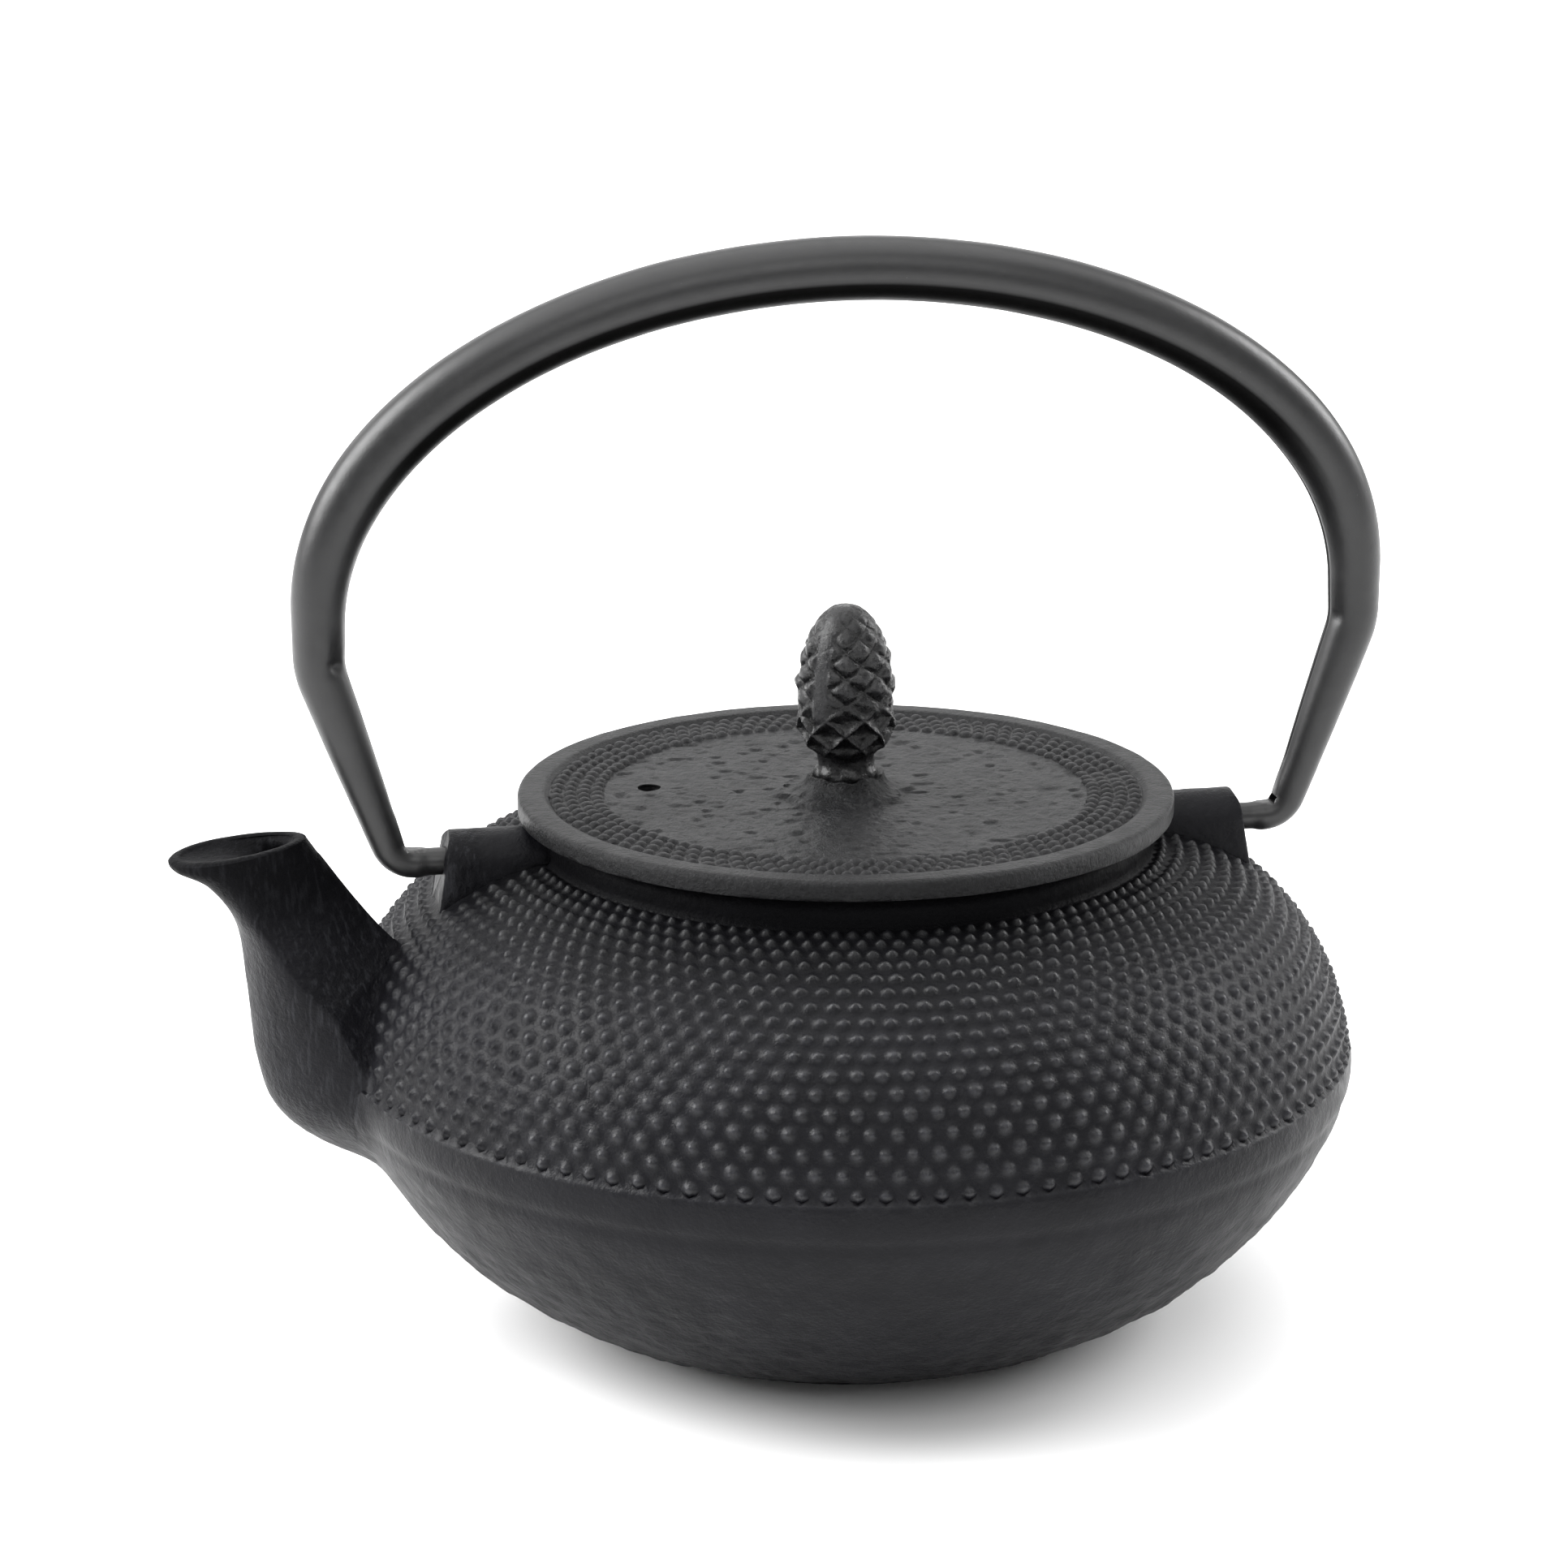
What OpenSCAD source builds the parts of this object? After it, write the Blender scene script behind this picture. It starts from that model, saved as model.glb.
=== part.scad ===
// Cast iron teapot with a swinging bail handle, a lift-off lid with a pine
// cone knob, and a strainer basket that hangs in the neck.
// Millimetres. +Z is up, the foot stands on Z = 0, the pot's axis is Z, and
// the spout points along -X. The bail turns about an axis along X.

/* [Pot body] */
// Greatest diameter of the pot
body_d = 165; // [163:0.5:167]
// Height of the casting seam, where the pot is widest
seam_z = 42; // [41:0.5:43]
// Diameter of the flat foot
foot_d = 82; // [78:1:84]
// Thickness of the cast wall
wall = 3.4; // [2.8:0.1:3.8]
// Height of the flat top of the neck
neck_z = 82.8; // [82.4:0.1:83.2]
// Outer diameter of the neck
neck_d = 98.2; // [97:0.2:99]
// Inner diameter of the neck
mouth_d = 89.2; // [88.6:0.2:89.8]
// Inner diameter of the ledge that carries the strainer
ledge_d = 81.6; // [81:0.2:82.4]

/* [Bail handle] */
// Height of the axis that the bail swings about
pivot_z = 78.4; // [78:0.1:78.8]
// Diameter of the bail's round ends
pin_d = 4.4; // [4:0.1:4.8]
// Gap between a round end and its hole, on the radius
pin_gap = 0.08; // [0.04:0.01:0.1]
// Greatest distance between the middles of the two legs
bail_span = 168.6; // [166:0.2:170]
// Height of the middle of the tube at the top of the arch
bail_z = 171.5; // [169:0.5:174]
// Diameter of the tube at the top of the arch
bail_tube_d = 10.2; // [9:0.1:11]
// Thickness of the rolled steel sheet
bail_sheet = 1; // [0.8:0.1:1.2]

/* [Lid] */
// Diameter of the lid
lid_d = 105.8; // [104:0.2:106.4]
// Height of the lid's rim band above the table
lid_z = 87.1; // [86.9:0.1:87.5]
// Outer diameter of the ring under the lid
lid_ring_d = 75.2; // [74:0.2:75.4]
// Diameter of the steam hole
vent_d = 3.7; // [3:0.1:4]
// Height of the knob's top above the table
knob_z = 117.3; // [116:0.1:119]
// Greatest diameter of the knob
knob_d = 16.4; // [15:0.1:18]

/* [Strainer] */
// Outer diameter of the strainer's flat rim
rim_d = 88.2; // [87.6:0.2:88.4]
// Outer diameter of the strainer's basket
basket_d = 77.2; // [76.6:0.2:77.6]
// Height of the strainer's floor above the table
basket_z = 38.5; // [36:0.5:44]

/* [Hidden] */
seat_gap = 0.2;

// ---- Curves shared by several parts ----

// A point on an ellipse in the (radius, height) half plane
function ellipse_point(mid, a, b, angle) =
  [mid[0] + a * cos(angle), mid[1] + b * sin(angle)];

// Catmull-Rom blend of four rows of numbers at t from 0 to 1
function blend_rows(a, b, c, d, t) =
  0.5 * (2 * b + (c - a) * t + (2 * a - 5 * b + 4 * c - d) * t * t
    + (3 * b - a - 3 * c + d) * t * t * t);
function smooth_rows(rows, steps) =
  [for (i = [0:len(rows) - 2]) for (k = [0:steps - 1])
    blend_rows(rows[max(i - 1, 0)], rows[i], rows[i + 1],
      rows[min(i + 2, len(rows) - 1)], k / steps),
    rows[len(rows) - 1]];

// Faces that join rings of equal length into one closed skin
function skin_faces(rings, around) = concat(
  [[for (j = [around - 1:-1:0]) j]],
  [for (i = [0:rings - 2]) for (j = [0:around - 1])
    let (k = (j + 1) % around)
    [i * around + j, i * around + k, (i + 1) * around + k, (i + 1) * around + j]],
  [[for (j = [0:around - 1]) (rings - 1) * around + j]]
);
module skin(rings) {
  around = len(rings[0]);
  points = [for (ring = rings) for (p = ring) p];
  polyhedron(points = points, faces = skin_faces(len(rings), around), convexity = 6);
}

// ---- Pot body ----

body_r = body_d / 2;
neck_r = neck_d / 2;
mouth_r = mouth_d / 2;
foot_r = foot_d / 2;
// The dome above the seam is a quarter of an ellipse round a ring
dome_mid_r = 40;
dome_h = 38;
// The bowl below the seam is an arc
bowl_arc_r = 64.2;
bowl_mid = [22.2, 62];
belt_z = seam_z - 4;
foot_edge_z = 0.8;
floor_z = 4;
ledge_z = 79;
ledge_t = 2.6;

function bowl_r(z, inset) =
  bowl_mid[0] + sqrt(pow(bowl_arc_r - inset, 2) - pow(z - bowl_mid[1], 2));
function dome_r(z, inset) =
  dome_mid_r + (body_r - dome_mid_r - inset) * sqrt(1 - pow((z - seam_z) / (dome_h - inset), 2));

// Heights that are close together where the outline turns fast
function eased(low, high, steps, power) =
  [for (i = [0:steps]) low + (high - low) * pow(i / steps, power)];

shoulder_z = seam_z + dome_h * sqrt(1 - pow((neck_r - dome_mid_r) / (body_r - dome_mid_r), 2));
inner_top_z = ledge_z - ledge_t;
inner_top_r = ledge_d / 2;

outer_outline = concat(
  [[0, 0], [foot_r, 0]],
  [for (z = eased(foot_edge_z, belt_z, 14, 1.5)) [bowl_r(z, 0), z]],
  [[body_r - 0.6, seam_z - 1.6]],
  [for (z = eased(0, 1, 14, 0.6)) [dome_r(seam_z + (shoulder_z - seam_z) * z, 0),
    seam_z + (shoulder_z - seam_z) * z]],
  [[neck_r, neck_z - 0.6], [neck_r - 0.6, neck_z], [0, neck_z]]
);
inner_outline = concat(
  [[0, floor_z], [foot_r - 3, floor_z]],
  [for (z = eased(floor_z + 1, belt_z, 12, 1.5)) [bowl_r(z, wall), z]],
  [for (z = eased(0, 1, 12, 0.6)) [dome_r(seam_z + (inner_top_z - seam_z) * z, wall),
    seam_z + (inner_top_z - seam_z) * z]],
  [[inner_top_r, inner_top_z], [inner_top_r, ledge_z], [mouth_r, ledge_z],
    [mouth_r, neck_z + 1], [0, neck_z + 1]]
);

// Spout stations from the root to the lip. Each row is the front point's
// distance out and height, the back point's distance out and height, half
// the width, and how round the back is (2 is an ellipse, 1 a sharp keel).
spout_stations = [
  [72, 27, 56, 44, 18, 1.6],
  [84, 31.5, 64, 54, 17, 1.5],
  [92.6, 38, 68.5, 60, 15, 1.4],
  [96, 48, 72, 64, 13.2, 1.4],
  [97.2, 60, 76.5, 69, 11.2, 1.45],
  [98.6, 70, 80.5, 74.2, 9.2, 1.6],
  [103, 76.6, 84, 79.2, 7.8, 1.8],
  [109, 81.2, 87.3, 83.9, 7.2, 2]
];
spout_wall = 1.9;
spout_around = 28;
spout_steps = 2;
// Where the section is widest, as a part of the way from front to back
spout_ridge = 0.45;

// Half width of a section at the part s of the way from front to back
function spout_half(s, half_w, back_power) =
  let (u = s < spout_ridge ? 1 - s / spout_ridge : (s - spout_ridge) / (1 - spout_ridge))
  let (power = s < spout_ridge ? 2 : back_power)
  half_w * pow(max(0, 1 - pow(u, power)), 1 / power);
function spout_ring(row, inset, beyond) =
  let (front = [row[0], row[1]])
  let (back = [row[2], row[3]])
  let (line = back - front)
  let (along = line / norm(line))
  let (up = [-along[1], along[0]])
  let (a = front + along * inset - up * beyond)
  let (b = back - along * inset - up * beyond)
  [for (j = [0:spout_around - 1])
    let (turn = 360 * j / spout_around)
    let (s = (1 - cos(turn)) / 2)
    let (p = a + (b - a) * s)
    let (y = spout_half(s, row[4] - inset, row[5]) * (turn < 180 ? 1 : -1))
    [-p[0], y, p[1]]];
function spout_rows() = smooth_rows(spout_stations, spout_steps);
module spout_skin() {
  skin([for (row = spout_rows()) spout_ring(row, 0, 0)]);
}
module spout_channel() {
  rows = spout_rows();
  last = len(rows) - 1;
  skin(concat(
    [for (i = [2:last]) spout_ring(rows[i], spout_wall, 0)],
    [spout_ring(rows[last], spout_wall, 1.5)]
  ));
}

// Lugs: an arch round the pivot hole, with a leaning outer face
lug_r = 5;
lug_out_x = 65.6;
lug_foot_x = 67.2;
lug_in_x = neck_r - 1;
lug_low_z = 66;
pin_hole_depth = 10;
module lug() {
  intersection() {
    rotate([90, 0, 90]) linear_extrude(80) union() {
      translate([0, pivot_z]) circle(r = lug_r, $fn = 48);
      translate([-lug_r, lug_low_z]) square([2 * lug_r, pivot_z - lug_low_z]);
    }
    rotate([90, 0, 0]) linear_extrude(4 * lug_r, center = true) polygon([
      [lug_in_x, lug_low_z], [lug_foot_x + 1, lug_low_z], [lug_foot_x, 71],
      [lug_out_x, pivot_z], [lug_out_x - 0.4, pivot_z + lug_r - 1.5],
      [lug_out_x - 1.6, pivot_z + lug_r], [lug_in_x, pivot_z + lug_r]
    ]);
  }
}
module pin_hole() {
  translate([lug_out_x - pin_hole_depth, 0, pivot_z]) rotate([0, 90, 0])
    cylinder(d = pin_d + 2 * pin_gap, h = pin_hole_depth + 5, $fn = 48);
}
module both_sides() {
  children();
  rotate(180) children();
}

module pot_body() {
  color([0.16, 0.16, 0.17]) difference() {
    union() {
      rotate_extrude($fn = 96) polygon(outer_outline);
      spout_skin();
      both_sides() lug();
    }
    rotate_extrude($fn = 96) polygon(inner_outline);
    spout_channel();
    both_sides() pin_hole();
  }
}

// ---- Bail handle ----

// The middle line of one half runs out along the pivot axis, round a tight
// bend, up a straight leg to a slight kink, and up an elliptical arch to its top.
bail_half = bail_span / 2;
arch_z = 119;
kink_z = 111;
corner_x = 73.1;
leg_lean = atan2(bail_half - corner_x, kink_z - pivot_z);
bend_r = 4.6;
kink_r = 14;
pin_reach = 8.5;
// How far a pin runs into the tube, short enough to stay inside its bend
pin_overlap = 0.8;
bend_turn = 90 - leg_lean;
bend_x = corner_x - bend_r * tan(bend_turn / 2);
pin_in_x = lug_out_x - pin_reach;

// Points round a corner of a path: start, turn in degrees, radius, heading
function bend_points(start, heading, turn, radius, steps) =
  [for (i = [0:steps])
    let (a = turn * i / steps)
    start + radius * [
      sin(heading + a) - sin(heading), cos(heading) - cos(heading + a)]];
kink_reach = kink_r * tan(leg_lean / 2);
kink_start = [bail_half, kink_z] - kink_reach * [sin(leg_lean), cos(leg_lean)];
leg_start = [corner_x, pivot_z] + bend_r * tan(bend_turn / 2) * [sin(leg_lean), cos(leg_lean)];
bend_steps = 5;
leg_steps = 5;
arch_steps = 15;
bail_path = concat(
  bend_points([bend_x, pivot_z], 0, bend_turn, bend_r, bend_steps),
  [for (i = [1:leg_steps - 1]) leg_start + (kink_start - leg_start) * i / leg_steps],
  bend_points(kink_start, bend_turn, leg_lean, kink_r, 3),
  [for (i = [0:arch_steps])
    ellipse_point([0, arch_z], bail_half, bail_z - arch_z, 90 * i / arch_steps)]
);

// The tube narrows from the arch down to the pins
tube_leg_d = 8.6;
tube_end_d = 5;
function tube_d(z) =
  z > arch_z
    ? tube_leg_d + (bail_tube_d - tube_leg_d) * sin(90 * min(1, (z - arch_z) / 30))
    : tube_end_d + (tube_leg_d - tube_end_d) * sin(90 * max(0, (z - pivot_z) / (arch_z - pivot_z)));

// A round section of the tube, square to the path
tube_points = 16;
function tube_ring(mid, heading, r) =
  [for (j = [0:tube_points - 1])
    let (turn = 360 * j / tube_points)
    let (side = r * cos(turn))
    [mid[0] - side * sin(heading), r * sin(turn), mid[1] + side * cos(heading)]];
function path_heading(path, i) =
  let (step = path[min(i + 1, len(path) - 1)] - path[max(i - 1, 0)])
  i == 0 ? 0 : i == len(path) - 1 ? 180 : atan2(step[1], step[0]);
module half_tube(first, inset) {
  skin([for (i = [first:len(bail_path) - 1])
    tube_ring(bail_path[i], path_heading(bail_path, i), tube_d(bail_path[i][1]) / 2 - inset)]);
}
module bail_pin() {
  translate([pin_in_x, 0, pivot_z]) rotate([0, 90, 0])
    cylinder(d = pin_d, h = bend_x + pin_overlap - pin_in_x, $fn = 48);
}

// The sheet's edges part where the tube bends, and leave a notch on the
// inner side that opens into the hollow of the tube
notch = [2.6, 2.6, 2.2];
module bend_notch() {
  mid = leg_start + 1.5 * [sin(leg_lean), cos(leg_lean)]
    - tube_end_d / 2 * [cos(leg_lean), -sin(leg_lean)];
  translate([mid[0], 0, mid[1]]) rotate([0, leg_lean, 0]) cube(notch, center = true);
}
module bail_handle() {
  color([0.1, 0.1, 0.1]) difference() {
    both_sides() {
      half_tube(0, 0);
      bail_pin();
    }
    both_sides() {
      half_tube(bend_steps, bail_sheet);
      bend_notch();
    }
  }
}

// ---- Lid, with its knob and washer ----

lid_r = lid_d / 2;
lid_low_z = neck_z + seat_gap;
lid_top_z = lid_z - 0.7;
band_w = 5.2;
seat_r = 47.6;
ring_in_r = lid_ring_d / 2 - 2.4;
ring_low_z = 73.4;
boss_r = 10.5;
boss_z = 88.9;
boss_top_r = 5.6;
tang_d = 5;
tang_gap = 0.1;
vent_reach = 31.8;
vent_turn = 165;

module lid() {
  color([0.2, 0.2, 0.21]) difference() {
    rotate_extrude($fn = 96) polygon([
      [0, lid_low_z], [ring_in_r, lid_low_z], [ring_in_r, ring_low_z],
      [lid_ring_d / 2, ring_low_z], [lid_ring_d / 2, lid_low_z],
      [seat_r, lid_low_z], [seat_r, lid_low_z + 0.7], [lid_r - 0.8, lid_low_z + 0.7],
      [lid_r, lid_low_z + 1.5], [lid_r, lid_z - 1.4], [lid_r - 1.4, lid_z],
      [lid_r - band_w, lid_z], [lid_r - band_w - 0.6, lid_top_z],
      [boss_r, lid_top_z], [boss_r - 3, lid_top_z + 0.9], [boss_top_r, boss_z], [0, boss_z]
    ]);
    translate([0, 0, lid_low_z - 1]) cylinder(d = tang_d + 2 * tang_gap, h = 10, $fn = 48);
    rotate(vent_turn) translate([vent_reach, 0, lid_low_z - 1])
      cylinder(d = vent_d, h = 10, $fn = 32);
  }
}

// The knob is an egg on a waisted neck, and its tang is peened over under
// the washer.
knob_r = knob_d / 2;
knob_wide_z = 101;
knob_neck_z = 91.6;
knob_neck_r = 4.4;
washer_t = 1;
washer_r = 6;
tang_head_r = 4.2;
tang_head_h = 1.6;
washer_low_z = lid_low_z - washer_t;
module lid_knob() {
  color([0.13, 0.13, 0.14]) rotate_extrude($fn = 48) polygon(concat(
    [[0, washer_low_z - tang_head_h], [tang_head_r - 1.2, washer_low_z - tang_head_h],
      [tang_head_r, washer_low_z - 0.5], [tang_head_r, washer_low_z],
      [tang_d / 2, washer_low_z], [tang_d / 2, boss_z],
      [boss_top_r - 0.2, boss_z], [boss_top_r - 0.2, boss_z + 0.8],
      [knob_neck_r, knob_neck_z]],
    [for (i = [1:5]) [knob_neck_r + (knob_r - knob_neck_r) * sin(90 * i / 5),
      knob_neck_z + (knob_wide_z - knob_neck_z) * (1 - cos(90 * i / 5)) * 0.5
        + (knob_wide_z - knob_neck_z) * 0.5 * i / 5]],
    [for (i = [1:12]) ellipse_point([0, knob_wide_z], knob_r, knob_z - knob_wide_z, 90 * i / 12)]
  ));
}
module knob_washer() {
  color("silver") difference() {
    translate([0, 0, washer_low_z]) cylinder(r = washer_r, h = washer_t, $fn = 48);
    translate([0, 0, washer_low_z - 1])
      cylinder(d = tang_d + 2 * tang_gap, h = washer_t + 2, $fn = 48);
  }
}

// ---- Strainer ----

rim_r = rim_d / 2;
basket_r = basket_d / 2;
rim_z = ledge_z + seat_gap;
rim_t = 0.8;
sheet = 0.5;
mesh_t = 0.4;
collar_low_z = 71;
cup_h = 5;
// The basket narrows towards its floor
floor_r = basket_r - 2;
module strainer_rim() {
  color("lightsteelblue") rotate_extrude($fn = 96) polygon([
    [rim_r, rim_z], [rim_r, rim_z + rim_t], [basket_r - sheet, rim_z + rim_t],
    [basket_r - sheet, collar_low_z], [basket_r, collar_low_z], [basket_r, rim_z]
  ]);
}
module strainer_mesh() {
  color("gainsboro") rotate_extrude($fn = 96) polygon([
    [basket_r - sheet - mesh_t, collar_low_z + 3], [basket_r - sheet, collar_low_z + 3],
    [basket_r - sheet, collar_low_z], [floor_r - sheet, basket_z + cup_h],
    [floor_r - sheet, basket_z + sheet], [floor_r - sheet - mesh_t, basket_z + sheet],
    [floor_r - sheet - mesh_t, basket_z + cup_h], [basket_r - sheet - mesh_t, collar_low_z]
  ]);
}
module strainer_base() {
  color("silver") rotate_extrude($fn = 96) polygon([
    [0, basket_z], [floor_r, basket_z], [floor_r, basket_z + cup_h],
    [floor_r - sheet, basket_z + cup_h], [floor_r - sheet, basket_z + sheet],
    [0, basket_z + sheet]
  ]);
}

pot_body();
bail_handle();
lid();
lid_knob();
knob_washer();
strainer_rim();
strainer_mesh();
strainer_base();
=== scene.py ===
"""Looks of a cast iron teapot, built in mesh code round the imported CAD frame.

Sizes are in millimetres and turn into metres where a mesh is made. +Z is up, the
foot stands on Z = 0, the spout points along -X and the bail's pivots lie along X.
"""

import math
from functools import partial

import bpy
import numpy as np
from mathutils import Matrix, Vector
from mathutils.bvhtree import BVHTree


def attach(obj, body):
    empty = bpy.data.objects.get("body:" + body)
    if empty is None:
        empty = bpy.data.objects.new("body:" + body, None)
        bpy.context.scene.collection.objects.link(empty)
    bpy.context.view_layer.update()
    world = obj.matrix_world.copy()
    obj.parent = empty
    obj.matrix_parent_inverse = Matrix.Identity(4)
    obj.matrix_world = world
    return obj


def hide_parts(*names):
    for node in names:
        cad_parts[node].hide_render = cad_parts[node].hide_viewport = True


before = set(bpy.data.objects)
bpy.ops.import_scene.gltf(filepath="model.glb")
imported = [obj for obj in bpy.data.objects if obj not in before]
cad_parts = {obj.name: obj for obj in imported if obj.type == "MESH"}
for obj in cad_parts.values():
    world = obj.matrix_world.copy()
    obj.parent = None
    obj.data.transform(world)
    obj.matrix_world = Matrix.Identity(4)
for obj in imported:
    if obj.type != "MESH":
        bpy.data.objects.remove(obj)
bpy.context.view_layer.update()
MM = 0.001
random = np.random.default_rng(7)


# ---- Sizes shared with the CAD model ----

SEAM_Z = 42
DOME_MID_R = 40
DOME_A = 42.5
DOME_B = 38
BOWL_MID = (22.2, 62)
BOWL_ARC_R = 64.2
WALL = 3.4
NECK_R = 49.1
NECK_Z = 82.8
MOUTH_R = 44.6
LEDGE_R = 40.8
LEDGE_Z = 79
LEDGE_T = 2.6
PIVOT_Z = 78.4
PIN_R = 2.2
PIN_GAP = 0.08


# ---- Helpers: curves, noise and meshes ----

def smoothstep(value, low, high):
    t = np.clip((value - low) / (high - low), 0, 1)
    return t * t * (3 - 2 * t)


def lattice_value(ix, iy, iz, seed):
    mask = 0xFFFFFFFF
    h = (ix * 374761393 + iy * 668265263 + iz * 1440662683 + seed * 1274126177) & mask
    h = ((h ^ (h >> 13)) * 1274126177) & mask
    return ((h ^ (h >> 16)) & 0xFFFF) / 32767.5 - 1


def noise(points, size, seed):
    """Smooth noise from -1 to 1 at points, with cells of that size (one number or three)."""
    q = np.asarray(points, float) / size
    cell = np.floor(q).astype(np.int64)
    f = q - cell
    f = f * f * f * (f * (f * 6 - 15) + 10)
    total = np.zeros(len(q))
    for dx in (0, 1):
        wx = f[:, 0] if dx else 1 - f[:, 0]
        for dy in (0, 1):
            wy = f[:, 1] if dy else 1 - f[:, 1]
            for dz in (0, 1):
                wz = f[:, 2] if dz else 1 - f[:, 2]
                value = lattice_value(cell[:, 0] + dx, cell[:, 1] + dy, cell[:, 2] + dz, seed)
                total += wx * wy * wz * value
    return total


def new_object(name, points, faces):
    """A mesh object from points in millimetres and lists of corners."""
    mesh = bpy.data.meshes.new(name)
    mesh.from_pydata((np.asarray(points, float) * MM).tolist(), [], faces)
    mesh.update()
    obj = bpy.data.objects.new(name, mesh)
    bpy.context.scene.collection.objects.link(obj)
    return obj


def combine(obj, others, operation):
    """Joins the others to obj, or cuts them from it, and removes them."""
    for other in others:
        step = obj.modifiers.new("combine", "BOOLEAN")
        step.operation = operation
        step.solver = "MANIFOLD"
        step.object = other
    bpy.context.view_layer.update()
    graph = bpy.context.evaluated_depsgraph_get()
    mesh = bpy.data.meshes.new_from_object(obj.evaluated_get(graph))
    obj.modifiers.clear()
    obj.data = mesh
    for other in others:
        bpy.data.objects.remove(other)
    return obj


def points_of(obj):
    co = np.empty(len(obj.data.vertices) * 3, np.float32)
    obj.data.vertices.foreach_get("co", co)
    return co.reshape(-1, 3).astype(float) / MM


def normals_of(obj):
    co = np.empty(len(obj.data.vertices) * 3, np.float32)
    obj.data.vertex_normals.foreach_get("vector", co)
    return co.reshape(-1, 3).astype(float)


def move_points(obj, points):
    obj.data.vertices.foreach_set("co", (points * MM).astype(np.float32).ravel())
    obj.data.update()


def store(obj, name, values):
    """Keeps one number a point, which the material reads as an attribute."""
    layer = obj.data.attributes.new(name, "FLOAT", "POINT")
    layer.data.foreach_set("value", np.asarray(values, np.float32))


def finish_piece(obj, body, nodes, material, sharp=40):
    obj.data.shade_smooth()
    obj.data.set_sharp_from_angle(angle=math.radians(sharp))
    obj.data.materials.clear()
    obj.data.materials.append(material)
    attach(obj, body)
    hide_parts(*nodes)
    return obj


class Skin:
    """Points and faces that grow ring by ring."""

    def __init__(self):
        self.points = []
        self.faces = []
        self.count = 0

    def add(self, points):
        """Adds points and returns their numbers."""
        points = np.asarray(points, float).reshape(-1, 3)
        ids = np.arange(self.count, self.count + len(points))
        self.points.append(points)
        self.count += len(points)
        return ids

    def turned(self, outline, around):
        """Adds a ring round the axis for each radius and height of an outline."""
        return [self.add(ring_points(r, z, around)) for r, z in outline]

    def join(self, upper, lower):
        """Quads between two closed rings of equal length."""
        a, b = np.roll(upper, -1), np.roll(lower, -1)
        self.faces += np.stack([upper, lower, b, a], 1).tolist()

    def join_all(self, rings):
        for upper, lower in zip(rings, rings[1:]):
            self.join(upper, lower)

    def fill_between(self, outer, inner, flip=False):
        """Quads between many pairs of outlines, one pair in each row of outer and inner."""
        count = outer.shape[1]
        for k in range(count):
            n = (k + 1) % count
            quad = [outer[:, n], outer[:, k], inner[:, k], inner[:, n]]
            self.faces += np.stack(quad[::-1] if flip else quad, 1).tolist()

    def close(self, ring, centre, upward):
        """A fan from a ring to a centre point."""
        mid = np.full(len(ring), self.add([centre])[0])
        after = np.roll(ring, -1)
        corners = (ring, after, mid) if upward else (after, ring, mid)
        self.faces += np.stack(corners, 1).tolist()

    def all_points(self):
        return np.concatenate(self.points)


def ring_points(radius, z, around):
    angle = 2 * math.pi * np.arange(around) / around
    return np.stack([radius * np.cos(angle), radius * np.sin(angle), np.full(around, z)], 1)


def above(base_z, outline):
    """An outline whose heights are given from a base height."""
    return [(r, base_z + height) for r, height in outline]


def revolve(name, outline, around):
    """A closed solid turned from an outline that starts on the axis at its top."""
    skin = Skin()
    rings = skin.turned(outline[1:-1], around)
    skin.join_all(rings)
    skin.close(rings[0], (0, 0, outline[0][1]), True)
    skin.close(rings[-1], (0, 0, outline[-1][1]), False)
    return new_object(name, skin.all_points(), skin.faces)


def facing_out(skin, name):
    """The skin as an object whose faces look outward."""
    obj = new_object(name, skin.all_points(), skin.faces)
    volume = 0.0
    for face in obj.data.polygons:
        volume += Vector(face.center).dot(face.normal) * face.area
    if volume < 0:
        obj.data.flip_normals()
    return obj


def closed_ring(name, outline, around):
    """A solid turned from a closed outline that stays off the axis."""
    skin = Skin()
    rings = skin.turned(outline, around)
    skin.join_all(rings + rings[:1])
    return facing_out(skin, name)


def loft_skin(rings):
    """A closed skin through rings that run from its bottom end to its top end."""
    skin = Skin()
    ids = [skin.add(ring) for ring in rings]
    for lower, upper in zip(ids, ids[1:]):
        skin.join(upper, lower)
    skin.close(ids[-1], np.mean(rings[-1], 0), True)
    skin.close(ids[0], np.mean(rings[0], 0), False)
    return skin


def loft(name, rings):
    return facing_out(loft_skin(rings), name)


# ---- A field of small cast dots on staggered rows ----

# Each ring of a dot: how far out, how high, and its number of points
DOT_RINGS = [(1.0, 0.04), (0.64, 0.5), (0.3, 0.91)]
# Each point round a dot's cell: its kind (0 a corner, 1 the middle of a slanted side,
# 2 an upright side), the columns from the dot's own, and 0 above the dot or 1 below it
CELL = [
    (0, -1, 0), (1, -1, 0), (0, 0, 0), (1, 0, 0), (0, 1, 0), (2, 1, 0),
    (0, 1, 1), (1, 0, 1), (0, 0, 1), (1, -1, 1), (0, -1, 1), (2, -1, 0),
]


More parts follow.
